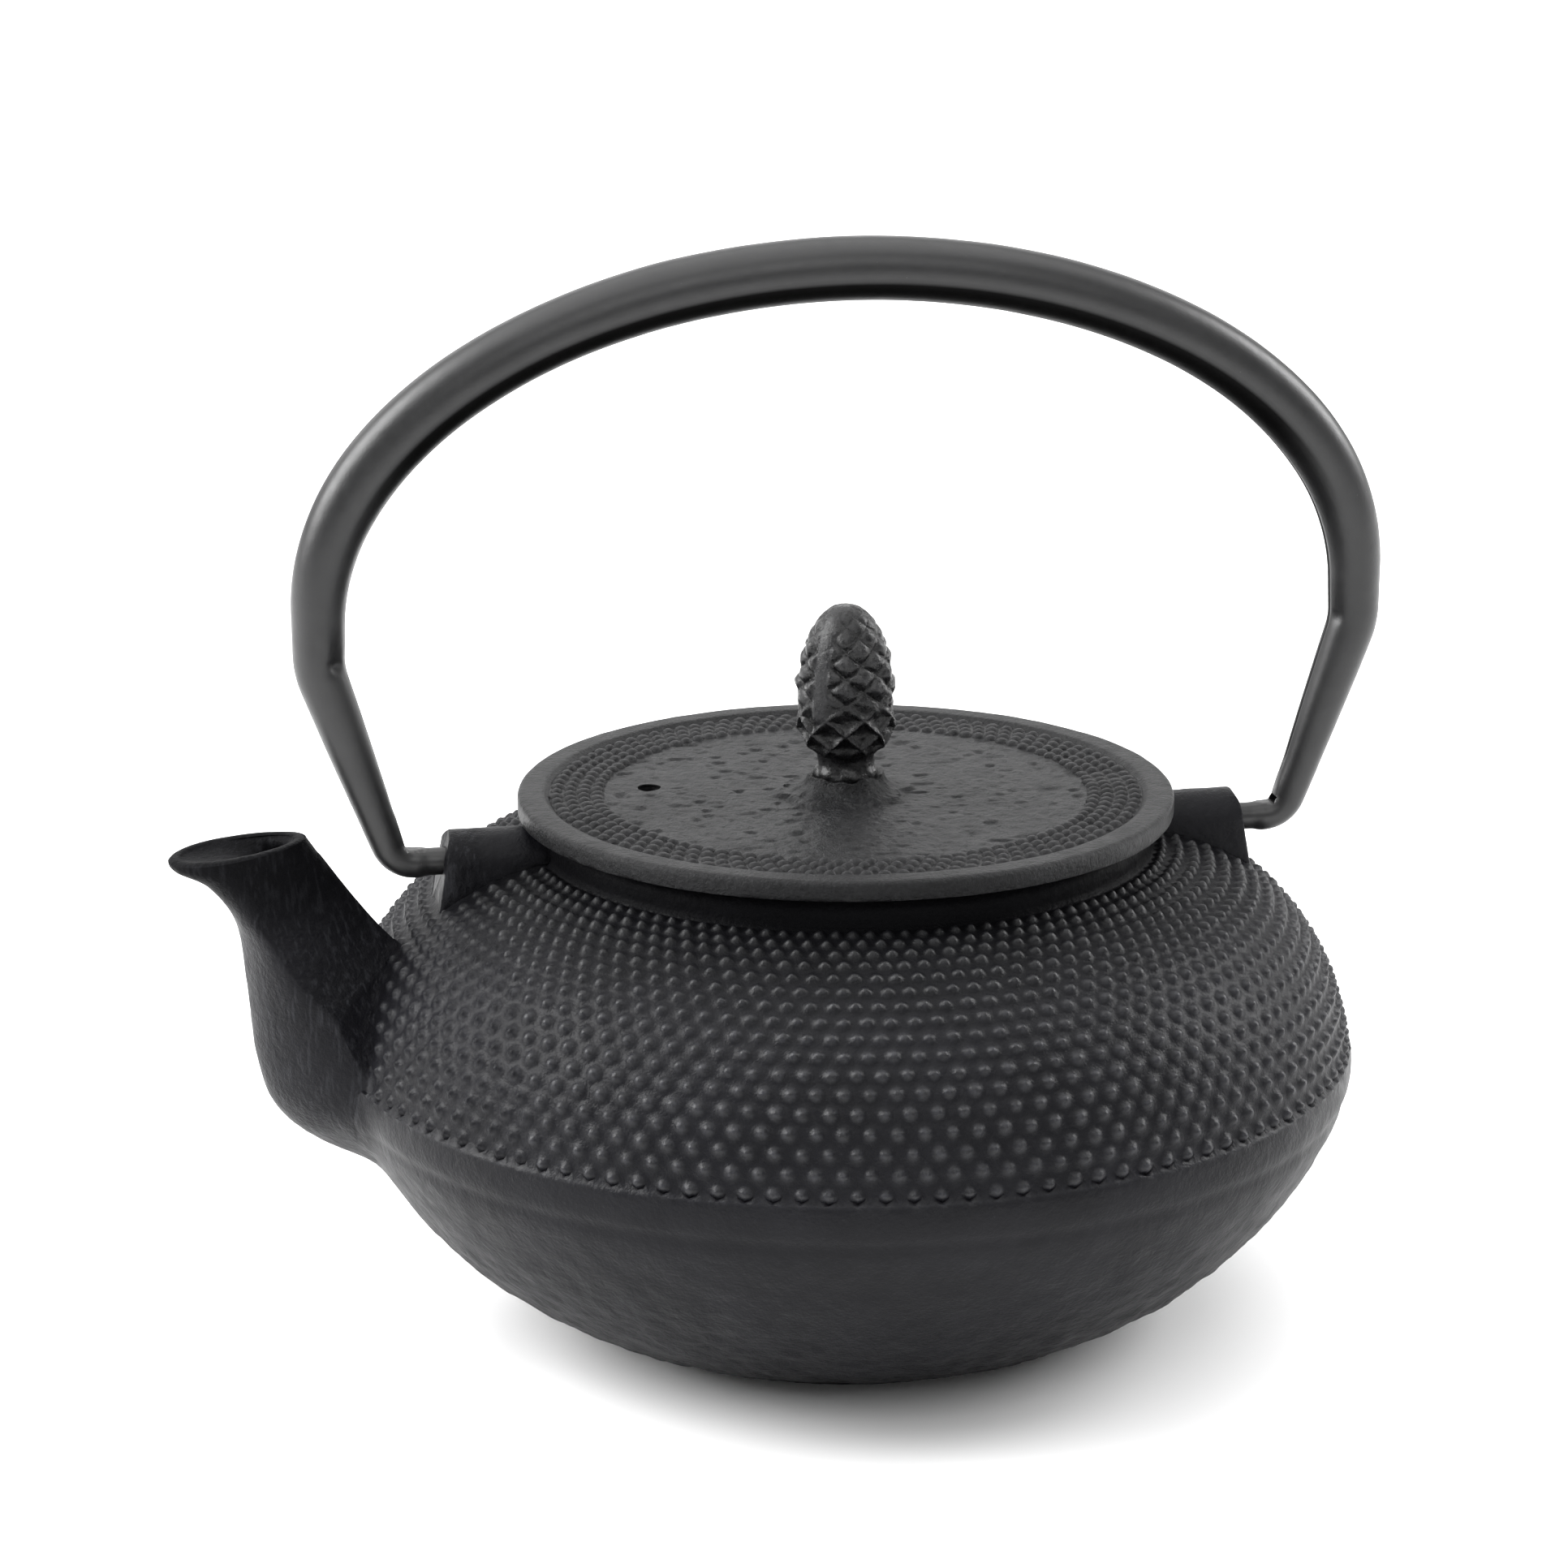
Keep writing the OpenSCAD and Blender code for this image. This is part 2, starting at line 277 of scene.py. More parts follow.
def cell_edges(skin, known, place, around, bottom_lift):
    """Adds the zigzag lines of points between the rows: their corners and the middles.
    known are the distances of the first edge, the rows and the last edge."""
    rows = len(known) - 2
    columns = 2 * around
    step = math.pi / around
    levels = np.concatenate([[-0.5], np.arange(rows), [rows - 0.5]])
    m = np.arange(columns)
    corner, middle = [], []
    for i in range(rows + 1):
        level = i - 1 + np.where(m % 2 == i % 2, 1 / 3, 2 / 3)
        if i in (0, rows):
            level = np.full(columns, i - 0.5)
        s = np.interp(level, levels, known)
        mid_s = (s + np.roll(s, -1)) / 2
        lift = np.zeros(columns)
        if i == rows and bottom_lift > 0:
            lift = np.where(m % 2 == (rows - 1) % 2, 0.92, 0.7) * bottom_lift
            lift += random.uniform(-0.18, 0.18, columns) * bottom_lift
        mid_lift = (lift + np.roll(lift, -1)) / 2
        corner.append(skin.add(place(s, m * step, lift)))
        middle.append(skin.add(place(mid_s, (m + 0.5) * step, mid_lift)))
    return corner, middle


def cap_dots(skin, outer, inner, top):
    """Triangles from rings of 12 points to rings of 6, and on to the dots' tops."""
    for k in range(6):
        a, b, c = outer[:, 2 * k], outer[:, 2 * k + 1], outer[:, (2 * k + 2) % 12]
        e, g = inner[:, k], inner[:, (k + 1) % 6]
        for face in ([b, a, e], [c, b, g], [b, e, g], [g, e, top]):
            skin.faces += np.stack(face, 1).tolist()


def dot_field(skin, places, place, around, edge_s, radius, height, scale,
              bottom_lift=0.0, dot_rings=DOT_RINGS):
    """Adds rows of dots. places are the rows' distances along the outline, and place
    turns distances, angles and heights into points. Returns the first and last ring."""
    rows = len(places)
    columns = 2 * around
    step = math.pi / around
    known = np.concatenate([[edge_s[0]], places, [edge_s[1]]])
    corner, middle = cell_edges(skin, known, place, around, bottom_lift)
    all_angles = np.arange(columns) * step
    side = [skin.add(place(np.full(columns, s), all_angles, np.zeros(columns))) for s in places]
    for i in range(rows):
        centre_m = np.arange(around) * 2 + i % 2
        local_r = np.hypot(*place(np.array([places[i]]), np.zeros(1), np.zeros(1))[0, :2])
        size_r = radius(places[i], local_r) * random.uniform(0.86, 1.08, around)
        size_h = height * random.uniform(0.86, 1.0, around)
        s = places[i] + random.uniform(-0.1, 0.1, around)
        angle = centre_m * step + random.uniform(-0.1, 0.1, around) / local_r
        size_h = size_h * scale(place(s, angle, np.zeros(around)))
        gaps = (known[i] - known[i + 1], known[i + 2] - known[i + 1])
        outline, turn = [], []
        for kind, dm, below in CELL:
            ring = (corner, middle, side)[kind][i + below]
            outline.append(ring[(centre_m + dm) % columns])
            du = (dm + (0.5 if kind == 1 else 0)) * local_r * step
            share = (2 / 3 if dm == 0 else 1 / 3, 1 / 2, 0)[kind]
            dv = gaps[below] * share
            turn.append((du / math.hypot(du, dv), dv / math.hypot(du, dv)))
        outline = np.stack(outline, 1)
        turn = np.array(turn)
        rings = []
        for k, (reach, rise) in enumerate(dot_rings):
            used = turn if k < 2 else turn[0::2]
            du = used[None, :, 0] * (size_r * reach)[:, None]
            dv = used[None, :, 1] * (size_r * reach)[:, None]
            h = np.repeat((size_h * rise)[:, None], used.shape[0], 1)
            ps = (s[:, None] + dv).ravel()
            pa = (angle[:, None] + du / local_r).ravel()
            rings.append(skin.add(place(ps, pa, h.ravel())).reshape(around, -1))
        top = skin.add(place(s, angle, size_h))
        skin.fill_between(outline, rings[0])
        skin.fill_between(rings[0], rings[1])
        cap_dots(skin, rings[1], rings[2], top)
    first = np.stack([corner[0], middle[0]], 1).ravel()
    last = np.stack([corner[rows], middle[rows]], 1).ravel()
    return first, last


# ---- Pot body ----

DOT_H = 0.88
DOTS_AROUND = 122
DOT_ROWS = 17
FIRST_ROW_S = 2.2
ROW_GAPS = (2.72, 3.12)
BELT_TOP_S = 1.45


def bowl_r(z, inset=0.0):
    return BOWL_MID[0] + np.sqrt((BOWL_ARC_R - inset) ** 2 - (z - BOWL_MID[1]) ** 2)


def dome_curve():
    """The dome's outline from the neck down: distance, radius, height and normal."""
    top = math.acos((NECK_R - DOME_MID_R) / DOME_A)
    t = np.linspace(top, -0.05, 400)
    r = DOME_MID_R + DOME_A * np.cos(t)
    z = SEAM_Z + DOME_B * np.sin(t)
    s = np.concatenate([[0], np.cumsum(np.hypot(np.diff(r), np.diff(z)))])
    nr, nz = np.cos(t) / DOME_A, np.sin(t) / DOME_B
    length = np.hypot(nr, nz)
    return s, r, z, nr / length, nz / length


DOME = dome_curve()


def on_dome(s, angle, height):
    """A point at distance s from the neck, at a height over the ground between the dots."""
    r, z, nr, nz = (np.interp(s, DOME[0], DOME[i]) for i in (1, 2, 3, 4))
    # The real dome is fuller than the arc by up to half a millimetre
    lift = height - DOT_H + 0.5 * np.sin(math.pi * np.clip(s / 43, 0, 1)) ** 0.7
    radius = r + nr * lift
    return np.stack([radius * np.cos(angle), radius * np.sin(angle), z + nz * lift], 1)


def row_places():
    gaps = np.linspace(ROW_GAPS[0], ROW_GAPS[1], DOT_ROWS - 1)
    return FIRST_ROW_S + np.concatenate([[0], np.cumsum(gaps)])


# Each station up the spout: how far out and how high its front edge is, the same for its
# back edge, its half width, and the power of the curve from the ridge to the back
SPOUT_STATIONS = np.array([
    [72, 27, 56, 44, 18, 1.2],
    [84, 31.5, 64, 54, 17.4, 1.08],
    [92.6, 38, 68.5, 60, 15.8, 1.02],
    [96, 48, 72, 64, 13.8, 1.01],
    [97.2, 60, 76.5, 69, 11.6, 1.02],
    [98.6, 70, 80.5, 74.2, 9.4, 1.16],
    [103, 76.6, 84, 79.2, 7.8, 1.5],
    [108.3, 79.5, 86.7, 83, 7.3, 1.9],
    [109, 81.2, 87.3, 83.9, 7.2, 2],
])
SPOUT_WALL = 1.9
LEAST_SPOUT_WALL = 1.3
# Where the ridge on the spout's flank lies, from its front to its back, by the front's height
RIDGE_HEIGHTS = (27, 50, 63, 71, 80)
RIDGE_SHARES = (0.5, 0.5, 0.3, 0.18, 0.42)
SPOUT_FRONT_POWER = 1.55


def blend_rows(a, b, c, d, t):
    return 0.5 * (2 * b + (c - a) * t + (2 * a - 5 * b + 4 * c - d) * t ** 2
                  + (3 * b - a - 3 * c + d) * t ** 3)


def spout_row(place):
    """The station at a place from 0 to 8 along the spout."""
    last = len(SPOUT_STATIONS) - 1
    i = min(int(place), last - 1)
    rows = [SPOUT_STATIONS[min(max(k, 0), last)] for k in (i - 1, i, i + 1, i + 2)]
    return blend_rows(*rows, place - i)


def flank(row, s):
    """The spout's half width as a share of its widest, from its front to its back edge."""
    ridge = np.interp(row[1], RIDGE_HEIGHTS, RIDGE_SHARES)
    u = np.where(s < ridge, 1 - s / ridge, (s - ridge) / (1 - ridge))
    # The front is a little flatter than an ellipse near the belt, and round at the lip
    front_power = SPOUT_FRONT_POWER + (2 - SPOUT_FRONT_POWER) * smoothstep(row[1], 66, 80)
    power = np.where(s < ridge, front_power, row[5])
    return np.power(np.clip(1 - u ** power, 0, 1), 1 / power)


def creased_shares(row, around):
    """Shares of the way from the front to the back and round again, close on the ridge."""
    ridge = np.interp(row[1], RIDGE_HEIGHTS, RIDGE_SHARES)
    front = around // 5
    rear = around // 2 - 2 - front
    before = ridge * (1 - np.cos(math.pi / 2 * np.arange(front) / front))
    crease = [ridge * 0.965, ridge, ridge + 0.02 * (1 - ridge)]
    after = ridge + (1 - ridge) * np.sin(math.pi / 2 * np.arange(1, rear + 1) / rear)
    share = np.concatenate([before, crease, after])
    return np.concatenate([share, share[-2:0:-1]])


def spout_ring(row, inset, beyond, narrow=0.0, creased=False, around=72):
    """One section of the spout, inset from its skin and moved out beyond its station.
    narrow from 0 to 1 pulls it in to the channel's oval, nearer the back than the front."""
    front, back = row[0:2], row[2:4]
    length = np.linalg.norm(back - front)
    along = (back - front) / length
    out = np.array([along[1], -along[0]])
    start = (inset + 0.44 * narrow * length) / length
    end = 1 - (inset + 0.12 * narrow * length) / length
    turn = 2 * math.pi * np.arange(around) / around
    share = creased_shares(row, around) if creased else (1 - np.cos(turn)) / 2
    s = start + (end - start) * share
    if narrow > 0:
        oval = np.sqrt(np.clip(1 - (2 * share - 1) ** 2, 0, 1))
        half = oval * (row[4] - inset) * (1 - 0.4 * narrow)
        half = np.minimum(half, np.maximum(row[4] * flank(row, s) - LEAST_SPOUT_WALL, 0))
    else:
        half = (row[4] - inset) * flank(row, share)
    p = (front + out * beyond)[None, :] + (back - front)[None, :] * s[:, None]
    half = half * np.where(turn < math.pi, 1, -1)
    return np.stack([-p[:, 0], half, p[:, 1]], 1)


def spout_solid():
    lip = SPOUT_STATIONS[-1]
    places = np.linspace(0, 7.6, 66)
    rings = [spout_ring(spout_row(p), 0, 0, creased=True) for p in places]
    for inset, beyond in ((0.14, -0.34), (0.42, -0.1), (0.9, 0)):
        rings.append(spout_ring(lip, inset, beyond, creased=True))
    return loft("spout", rings)


def spout_channel():
    lip = SPOUT_STATIONS[-1]
    places = np.linspace(1, 7.7, 50)
    # The wall is thick in front and opens to the lip as a shallow pouring groove
    rings = [spout_ring(spout_row(p), SPOUT_WALL, 0, 1 - float(smoothstep(p, 6.6, 7.7)))
             for p in places]
    for wall, beyond in ((SPOUT_WALL - 0.1, -0.2), (SPOUT_WALL - 0.4, 0.02),
                         (SPOUT_WALL - 0.4, 1.5)):
        rings.append(spout_ring(lip, wall, beyond))
    return loft("spout_channel", rings)


LUG_R = 5
LUG_IN_X = 48.1
LUG_LOW_Z = 66
LUG_FACE = [(67.1, 66), (66.7, 71), (66.2, 74.7), (65.6, 78.4), (65.2, 81.9), (64.6, 83.4)]


def lug_solid(side):
    """An arched lug whose outer face leans in towards its top, with rounded edges."""
    arc = np.radians(np.linspace(0, 180, 33))
    outline = [(LUG_R * math.cos(t), PIVOT_Z + LUG_R * math.sin(t)) for t in arc]
    heights = np.linspace(PIVOT_Z, LUG_LOW_Z, 13)[1:]
    outline += [(-LUG_R, z) for z in heights]
    outline += [(y, LUG_LOW_Z) for y in np.linspace(-LUG_R, LUG_R, 9)[1:]]
    outline += [(LUG_R, z) for z in heights[::-1][1:]]
    outline = np.array(outline)
    face_x = np.interp(outline[:, 1], [z for _, z in LUG_FACE], [x for x, _ in LUG_FACE])
    middle = np.array([0, 75.0])
    rings = []
    for share in np.linspace(0, 1, 15)[:-1]:
        x = LUG_IN_X + (face_x - 0.9 - LUG_IN_X) * share
        rings.append(np.stack([side * x, outline[:, 0], outline[:, 1]], 1))
    for back, inset in ((0.55, 0.02), (0.25, 0.14), (0.07, 0.36), (0, 0.75)):
        toward = middle - outline
        pulled = outline + toward / np.linalg.norm(toward, axis=1)[:, None] * inset
        rings.append(np.stack([side * (face_x - back), pulled[:, 0], pulled[:, 1]], 1))
    return loft("lug", rings)


def pin_hole(side):
    """A blind hole for the bail's round end, which cuts in from outside the lug."""
    angle = 2 * math.pi * np.arange(40) / 40
    r = PIN_R + PIN_GAP
    rings = [np.stack([np.full(40, side * x), r * np.cos(angle), PIVOT_Z + r * np.sin(angle)], 1)
             for x in (55.6, 60, 65, 72)]
    return loft("pin_hole", rings)


def pot_outline():
    """The outline of the pot's outside without its dots, from the belt to the foot."""
    belt = [(82.28, 45.1), (82.36, 44.2), (82.4, 43.2), (82.38, 42.3), (82.3, 41.5),
            (82.18, 40.8), (82.0, 40.2), (81.76, 39.7), (81.5, 39.2), (81.33, 38.6),
            (81.25, 37.9), (81.17, 37.2)]
    bowl = [(float(bowl_r(z)) - 0.12, z) for z in np.linspace(0, 1, 52)[::-1][1:] ** 1.4
            * 35.6 + 0.9]
    foot = [(41.2, 0.42), (40.6, 0.1), (39.9, 0), (37.6, 0), (35.4, 0), (34.9, 0.12),
            (34.5, 0.45), (34, 0.75), (33.2, 0.85), (26, 0.85), (17, 0.85), (8, 0.85)]
    return belt + bowl + foot


def neck_outline():
    """The neck's outside from its top edge down to the dotted ground."""
    edge = [(46.5, 0), (47.5, 0), (48.0, -0.25), (48.45, -0.7), (48.8, -1.15), (49.0, -1.6)]
    return above(NECK_Z, edge) + [(49.08, 80.7), (49.1, 80.2), (49.1, 79.7), (49.1, 79.2),
                                  (49.2, 78.75), (49.45, 78.5)]


def body_profile():
    """The ground outline as one line from the neck to the foot, for distances."""
    s = np.linspace(0.8, row_places()[-1] + BELT_TOP_S, 60)
    ground = on_dome(s, np.zeros(60), np.zeros(60))
    line = neck_outline()[2:] + [(p[0], p[2]) for p in ground] + pot_outline()
    return np.array(line)


PROFILE = body_profile()


def body_distance(points):
    """Signed distances from the pot's outside, with the directions away from it."""
    q = np.stack([np.hypot(points[:, 0], points[:, 1]), points[:, 2]], 1)
    a, b = PROFILE[:-1], PROFILE[1:]
    d = b - a
    w = q[:, None, :] - a[None, :, :]
    t = np.clip((w * d[None]).sum(2) / (d * d).sum(1)[None], 0, 1)
    gap = w - t[:, :, None] * d[None]
    far = (gap ** 2).sum(2)
    best = far.argmin(1)
    pick = np.arange(len(q))
    gap = gap[pick, best]
    distance = np.sqrt(far[pick, best])
    seg = d[best]
    normal = np.stack([-seg[:, 1], seg[:, 0]], 1)
    normal /= np.linalg.norm(normal, axis=1)[:, None]
    sign = np.where((gap * normal).sum(1) < 0, -1.0, 1.0)
    near = distance < 1e-4
    away = np.where(near[:, None], normal, gap * (sign / np.maximum(distance, 1e-9))[:, None])
    radial = points[:, :2] / np.maximum(q[:, :1], 1e-9)
    direction = np.concatenate([radial * away[:, :1], away[:, 1:]], 1)
    return distance * sign, direction


def tree_distance(tree, points):
    """Signed distances from a closed mesh, with the directions away from it."""
    distance = np.empty(len(points))
    direction = np.empty((len(points), 3))
    for i, p in enumerate(points):
        place, normal, _, far = tree.find_nearest(Vector(p))
        gap = np.array(Vector(p) - place)
        if gap.dot(normal) < 0.9 * far:
            # Nearest to an edge or corner: all its faces together say which side this is
            nearest = tree.find_nearest_range(Vector(p), far * 1.0005 + 1e-4)
            normal = sum((hit[1] for hit in nearest), Vector())
        sign = -1.0 if gap.dot(normal) < 0 else 1.0
        distance[i] = far * sign
        direction[i] = gap * sign / far if far > 1e-4 else np.array(normal)
    return distance, direction


def tree_of(obj):
    points = [tuple(p) for p in points_of(obj)]
    return BVHTree.FromPolygons(points, [tuple(f.vertices) for f in obj.data.polygons])


def soften_joint(points, own, other, reach):
    """Moves points near the other shape onto a smooth blend of both shapes.
    own and other give signed distances and directions, and reach the blend's size."""
    start, _ = own(points)
    first, _ = other(points)
    near = first < reach(points)
    if not near.any():
        return points
    p = points[near].copy()
    lift = start[near]
    depth = np.maximum(0, -first[near])
    k = reach(p)
    for _ in range(6):
        a, da = own(p)
        a = a - lift
        b, db = other(p)
        h = np.clip(0.5 + 0.5 * (b - a) / k, 0, 1)
        value = a * h + b * (1 - h) - k * h * (1 - h)
        slope = da * h[:, None] + db * (1 - h)[:, None]
        slope /= np.maximum(np.linalg.norm(slope, axis=1), 0.3)[:, None]
        goal = -0.02 * (depth > 0) - 0.4 * depth
        p = p - slope * np.clip(value - goal, -1.5, 1.5)[:, None]
    keep = smoothstep(depth, 0.3 * k, 0.9 * k)[:, None]
    result = points.copy()
    result[near] = p * (1 - keep) + points[near] * keep
    return result


def spout_reach(points):
    """The spout runs smoothly into the belt and the bowl, and meets the dome in a crease."""
    z = points[:, 2]
    belt = smoothstep(z, 32, 39) * (1 - smoothstep(z, 40, 48.5))
    return 1.3 + 5 * belt + 1.5 * (1 - smoothstep(z, 32, 39))


def lug_reach(points):
    return np.full(len(points), 1.0)


def beside_spout(p):
    return (p[:, 0] < -48) & (np.abs(p[:, 1]) < 32) & (p[:, 2] > 14) & (p[:, 2] < 76)


def beside_lug(side, p):
    outside_neck = np.hypot(p[:, 0], p[:, 1]) > 50
    return (side * p[:, 0] > 46) & (np.abs(p[:, 1]) < 8) & (p[:, 2] > 66) & outside_neck


def pot_shell(trees):
    """The pot's outside as one closed skin, with dots that fade out at the spout and lugs."""
    skin = Skin()

    def dot_share(points):
        share = np.ones(len(points))
        for tree, start, end in zip(trees, (0.3, 0.4, 0.4), (1.5, 1.8, 1.8)):
            near = np.abs(points[:, 0]) > 40
            distance = np.full(len(points), 99.0)
            distance[near], _ = tree_distance(tree, points[near])
            share *= smoothstep(distance, start, end)
        return share

    def dot_radius(s, r):
        return 0.36 * math.hypot(3.0, math.pi * r / DOTS_AROUND)

    places = row_places()
    edges = (FIRST_ROW_S - 1.35, places[-1] + BELT_TOP_S)
    first, last = dot_field(
        skin, places, on_dome, DOTS_AROUND, edges, dot_radius, DOT_H, dot_share, DOT_H)
    around = len(first)
    neck = skin.turned(neck_outline(), around)
    skin.join_all(neck + [first])
    rings = [last] + skin.turned(pot_outline(), around)
    skin.join_all(rings)
    skin.close(neck[0], (0, 0, NECK_Z), True)
    skin.close(rings[-1], (0, 0, 0.85), False)
    return skin


def cavity():
    """The inside of the pot, with the ledge for the strainer and the mouth."""
    bowl = [(float(bowl_r(z, WALL)), z) for z in np.linspace(0, 1, 16) ** 1.5 * 32 + 5.6]
    t = np.radians(np.linspace(0, 68, 20))
    dome = [(DOME_MID_R + (DOME_A - WALL) * math.cos(a), SEAM_Z + (DOME_B - WALL) * math.sin(a))
            for a in t]
    dome = [p for p in dome if p[1] < LEDGE_Z - LEDGE_T - 0.4]
    mouth = [(LEDGE_R + 0.5, LEDGE_Z - LEDGE_T), (LEDGE_R, LEDGE_Z - LEDGE_T + 0.5),
             (LEDGE_R, LEDGE_Z - 0.4), (LEDGE_R + 0.4, LEDGE_Z), (MOUTH_R - 0.3, LEDGE_Z),
             (MOUTH_R, LEDGE_Z + 0.3), (MOUTH_R, NECK_Z - 0.5), (MOUTH_R + 0.15, NECK_Z - 0.15),
             (MOUTH_R + 0.5, NECK_Z), (MOUTH_R + 0.5, NECK_Z + 2)]
    floor = [(10, 4), (20, 4), (30, 4), (36.5, 4.05), (38.6, 4.4), (40.5, 5.0)]
    line = [(0, 4)] + floor + bowl + dome + mouth + [(0, NECK_Z + 2)]
    return revolve("cavity", line[::-1], 144)


def cast_roughness(obj):
    """Moves the pot's points as casting does: slow waves, and dents that grow to the base."""
    p = points_of(obj)
    n = normals_of(obj)
    r = np.hypot(p[:, 0], p[:, 1])
    low = 1 - smoothstep(p[:, 2], 34, 44)
    base = 1 - smoothstep(p[:, 2], 8, 36)
    outer, _ = body_distance(p)
    on_bowl = (outer > -0.6) * low
    on_spout = (outer > 0.6) * (p[:, 0] < -60)
    on_lug = (outer > 0.4) * (np.abs(p[:, 1]) < 7) * (p[:, 2] > 68) * (p[:, 0] > -68)
    fit = (r < NECK_R + 0.4) * (p[:, 2] > 75)
    in_hole = (np.hypot(p[:, 1], p[:, 2] - PIVOT_Z) < PIN_R + 0.2) * (r > 54)
    flat_foot = p[:, 2] < 0.05
    slow = noise(p, 26, 1) * 0.1 + noise(p, 11, 2) * 0.05
    dents = noise(p, (4.2, 4.2, 2.8), 3) * 0.07 + noise(p, (2.2, 2.2, 1.6), 4) * 0.08
    pits = -np.maximum(0, noise(p, (3.2, 3.2, 2.2), 5) - 0.45) * 0.35
    grain = noise(p, 1.6, 6) * 0.03
    waves = noise(p, (4.5, 3.0, 6.0), 7) * 0.07 + noise(p, 1.5, 8) * 0.03
    move = slow * 0.7 + grain
    move = move + on_bowl * (2.1 * dents * (0.35 + base) + pits * base)
    move = move + on_spout * waves + on_lug * noise(p, 1.3, 9) * 0.05
    move = (move - 0.28 * on_bowl) * (1 - fit) * (1 - in_hole) * (1 - flat_foot)
    p = p + n * np.minimum(move, 0.06)[:, None]
    p[:, 2] = np.maximum(p[:, 2], 0)
    move_points(obj, p)
    store(obj, "rough", np.clip(0.25 + 0.6 * base + 0.35 * on_spout + 0.3 * fit, 0, 1))
    # Dot tips, marked for a lighter colour and more shine: partly wear from handling, partly
    # painted highlight
    dome = smoothstep(p[:, 2], 44.5, 46.5) * (outer > -0.8)
    store(obj, "tip_wear_and_highlight", np.clip(outer / DOT_H, 0, 1) * dome * (1 - on_spout) * (1 - on_lug))
    store(obj, "streak", on_spout.astype(float))
    store(obj, "inside", (outer < -1.5).astype(float))
    # Painted shade: the neck under the lid's rim and the dome's top rows get a darker colour and
    # less shine, where the lid and collar cast shade
    neck = (r < NECK_R + 0.6) * (p[:, 2] > 77) * 0.85
    store(obj, "painted_collar_shade", np.maximum(neck, 0.8 * smoothstep(p[:, 2], 66, 78) * (1 - on_lug)))


def pot_body(material):
    parts = [(spout_solid(), beside_spout, spout_reach)]
    parts += [(lug_solid(side), partial(beside_lug, side), lug_reach) for side in (-1, 1)]
    trees = [tree_of(part) for part, _, _ in parts]
    skin = pot_shell(trees)
    points = skin.all_points()
    for (_, beside, reach), tree in zip(parts, trees):
        near = beside(points)
        points[near] = soften_joint(
            points[near], body_distance, partial(tree_distance, tree), reach)
    pot = new_object("pot_body_casting", points, skin.faces)
    for (part, _, reach), tree in zip(parts, trees):
        own = partial(tree_distance, tree)
        move_points(part, soften_joint(points_of(part), own, body_distance, reach))
    combine(pot, [part for part, _, _ in parts], "UNION")
    combine(pot, [cavity(), spout_channel(), pin_hole(-1), pin_hole(1)], "DIFFERENCE")
    cast_roughness(pot)
    return finish_piece(pot, "pot", ["pot_body"], material, 48)


# ---- Bail handle ----

BAIL_HALF = 84.3
BAIL_TOP_Z = 171.5
ARCH_Z = 119
KINK_Z = 111
CORNER_X = 73.1
LEG_LEAN = math.atan2(BAIL_HALF - CORNER_X, KINK_Z - PIVOT_Z)
BEND_R = 4.6
KINK_R = 14
BEND_TURN = math.pi / 2 - LEG_LEAN
BEND_X = CORNER_X - BEND_R * math.tan(BEND_TURN / 2)
PIN_TIP_X = 57.1
LEG_UP = np.array([math.sin(LEG_LEAN), math.cos(LEG_LEAN)])
LEG_START = np.array([CORNER_X, PIVOT_Z]) + BEND_R * math.tan(BEND_TURN / 2) * LEG_UP
KINK_START = np.array([BAIL_HALF, KINK_Z]) - KINK_R * math.tan(LEG_LEAN / 2) * LEG_UP
TUBE_AROUND = 56
# The dimples at the kinks: their places, sizes and depths
DIMPLES = (((-81.9, -3.8, 112.0), 1.2, 0.8), ((80.4, -2.6, 112.0), 1.0, 0.6))


def tube_r(z):
    """The tube's radius, which grows from the bend up to the top of the arch."""
    leg = 2.5 + 1.8 * np.sin(math.pi / 2 * np.clip((z - PIVOT_Z) / (ARCH_Z - PIVOT_Z), 0, 1))
    arch = 4.3 + 0.8 * np.sin(math.pi / 2 * np.clip((z - ARCH_Z) / 30, 0, 1))
    return np.where(z > ARCH_Z, arch, leg)


def turning_points(start, heading, turn, radius, count):
    a = turn * np.arange(count + 1) / count
    x = start[0] + radius * (np.sin(heading + a) - math.sin(heading))
    z = start[1] + radius * (math.cos(heading) - np.cos(heading + a))
    return [(px, pz, heading + t) for px, pz, t in zip(x, z, a)]


def half_bail():
    """One half's middle line from the pin's tip to the arch's top: x, z, heading, radius."""
    line = [(PIN_TIP_X, PIVOT_Z, 0, 1.5), (PIN_TIP_X + 0.15, PIVOT_Z, 0, 1.95),
            (PIN_TIP_X + 0.5, PIVOT_Z, 0, 2.16)]
    for x in np.linspace(PIN_TIP_X + 0.9, 67.4, 20):
        line.append((x, PIVOT_Z, 0, PIN_R))
    for x in np.linspace(67.9, BEND_X - 0.2, 6):
        line.append((x, PIVOT_Z, 0, PIN_R + 0.3 * float(smoothstep(x, 67.6, BEND_X))))
    bend = turning_points((BEND_X, PIVOT_Z), 0, BEND_TURN, BEND_R, 18)
    leg_length = np.linalg.norm(KINK_START - LEG_START)
    leg = [(*(LEG_START + LEG_UP * t), BEND_TURN) for t in np.arange(0.8, leg_length, 0.8)]
    kink = turning_points(KINK_START, BEND_TURN, LEG_LEAN, KINK_R, 6)
    arch = []
    for t in np.linspace(0.004, math.pi / 2, 130):
        x, z = BAIL_HALF * math.cos(t), ARCH_Z + (BAIL_TOP_Z - ARCH_Z) * math.sin(t)
        heading = math.atan2((BAIL_TOP_Z - ARCH_Z) * math.cos(t), -BAIL_HALF * math.sin(t))
        arch.append((x, z, heading))
    for x, z, heading in bend + leg + kink + arch:
        line.append((x, z, heading, float(tube_r(z))))
    return line


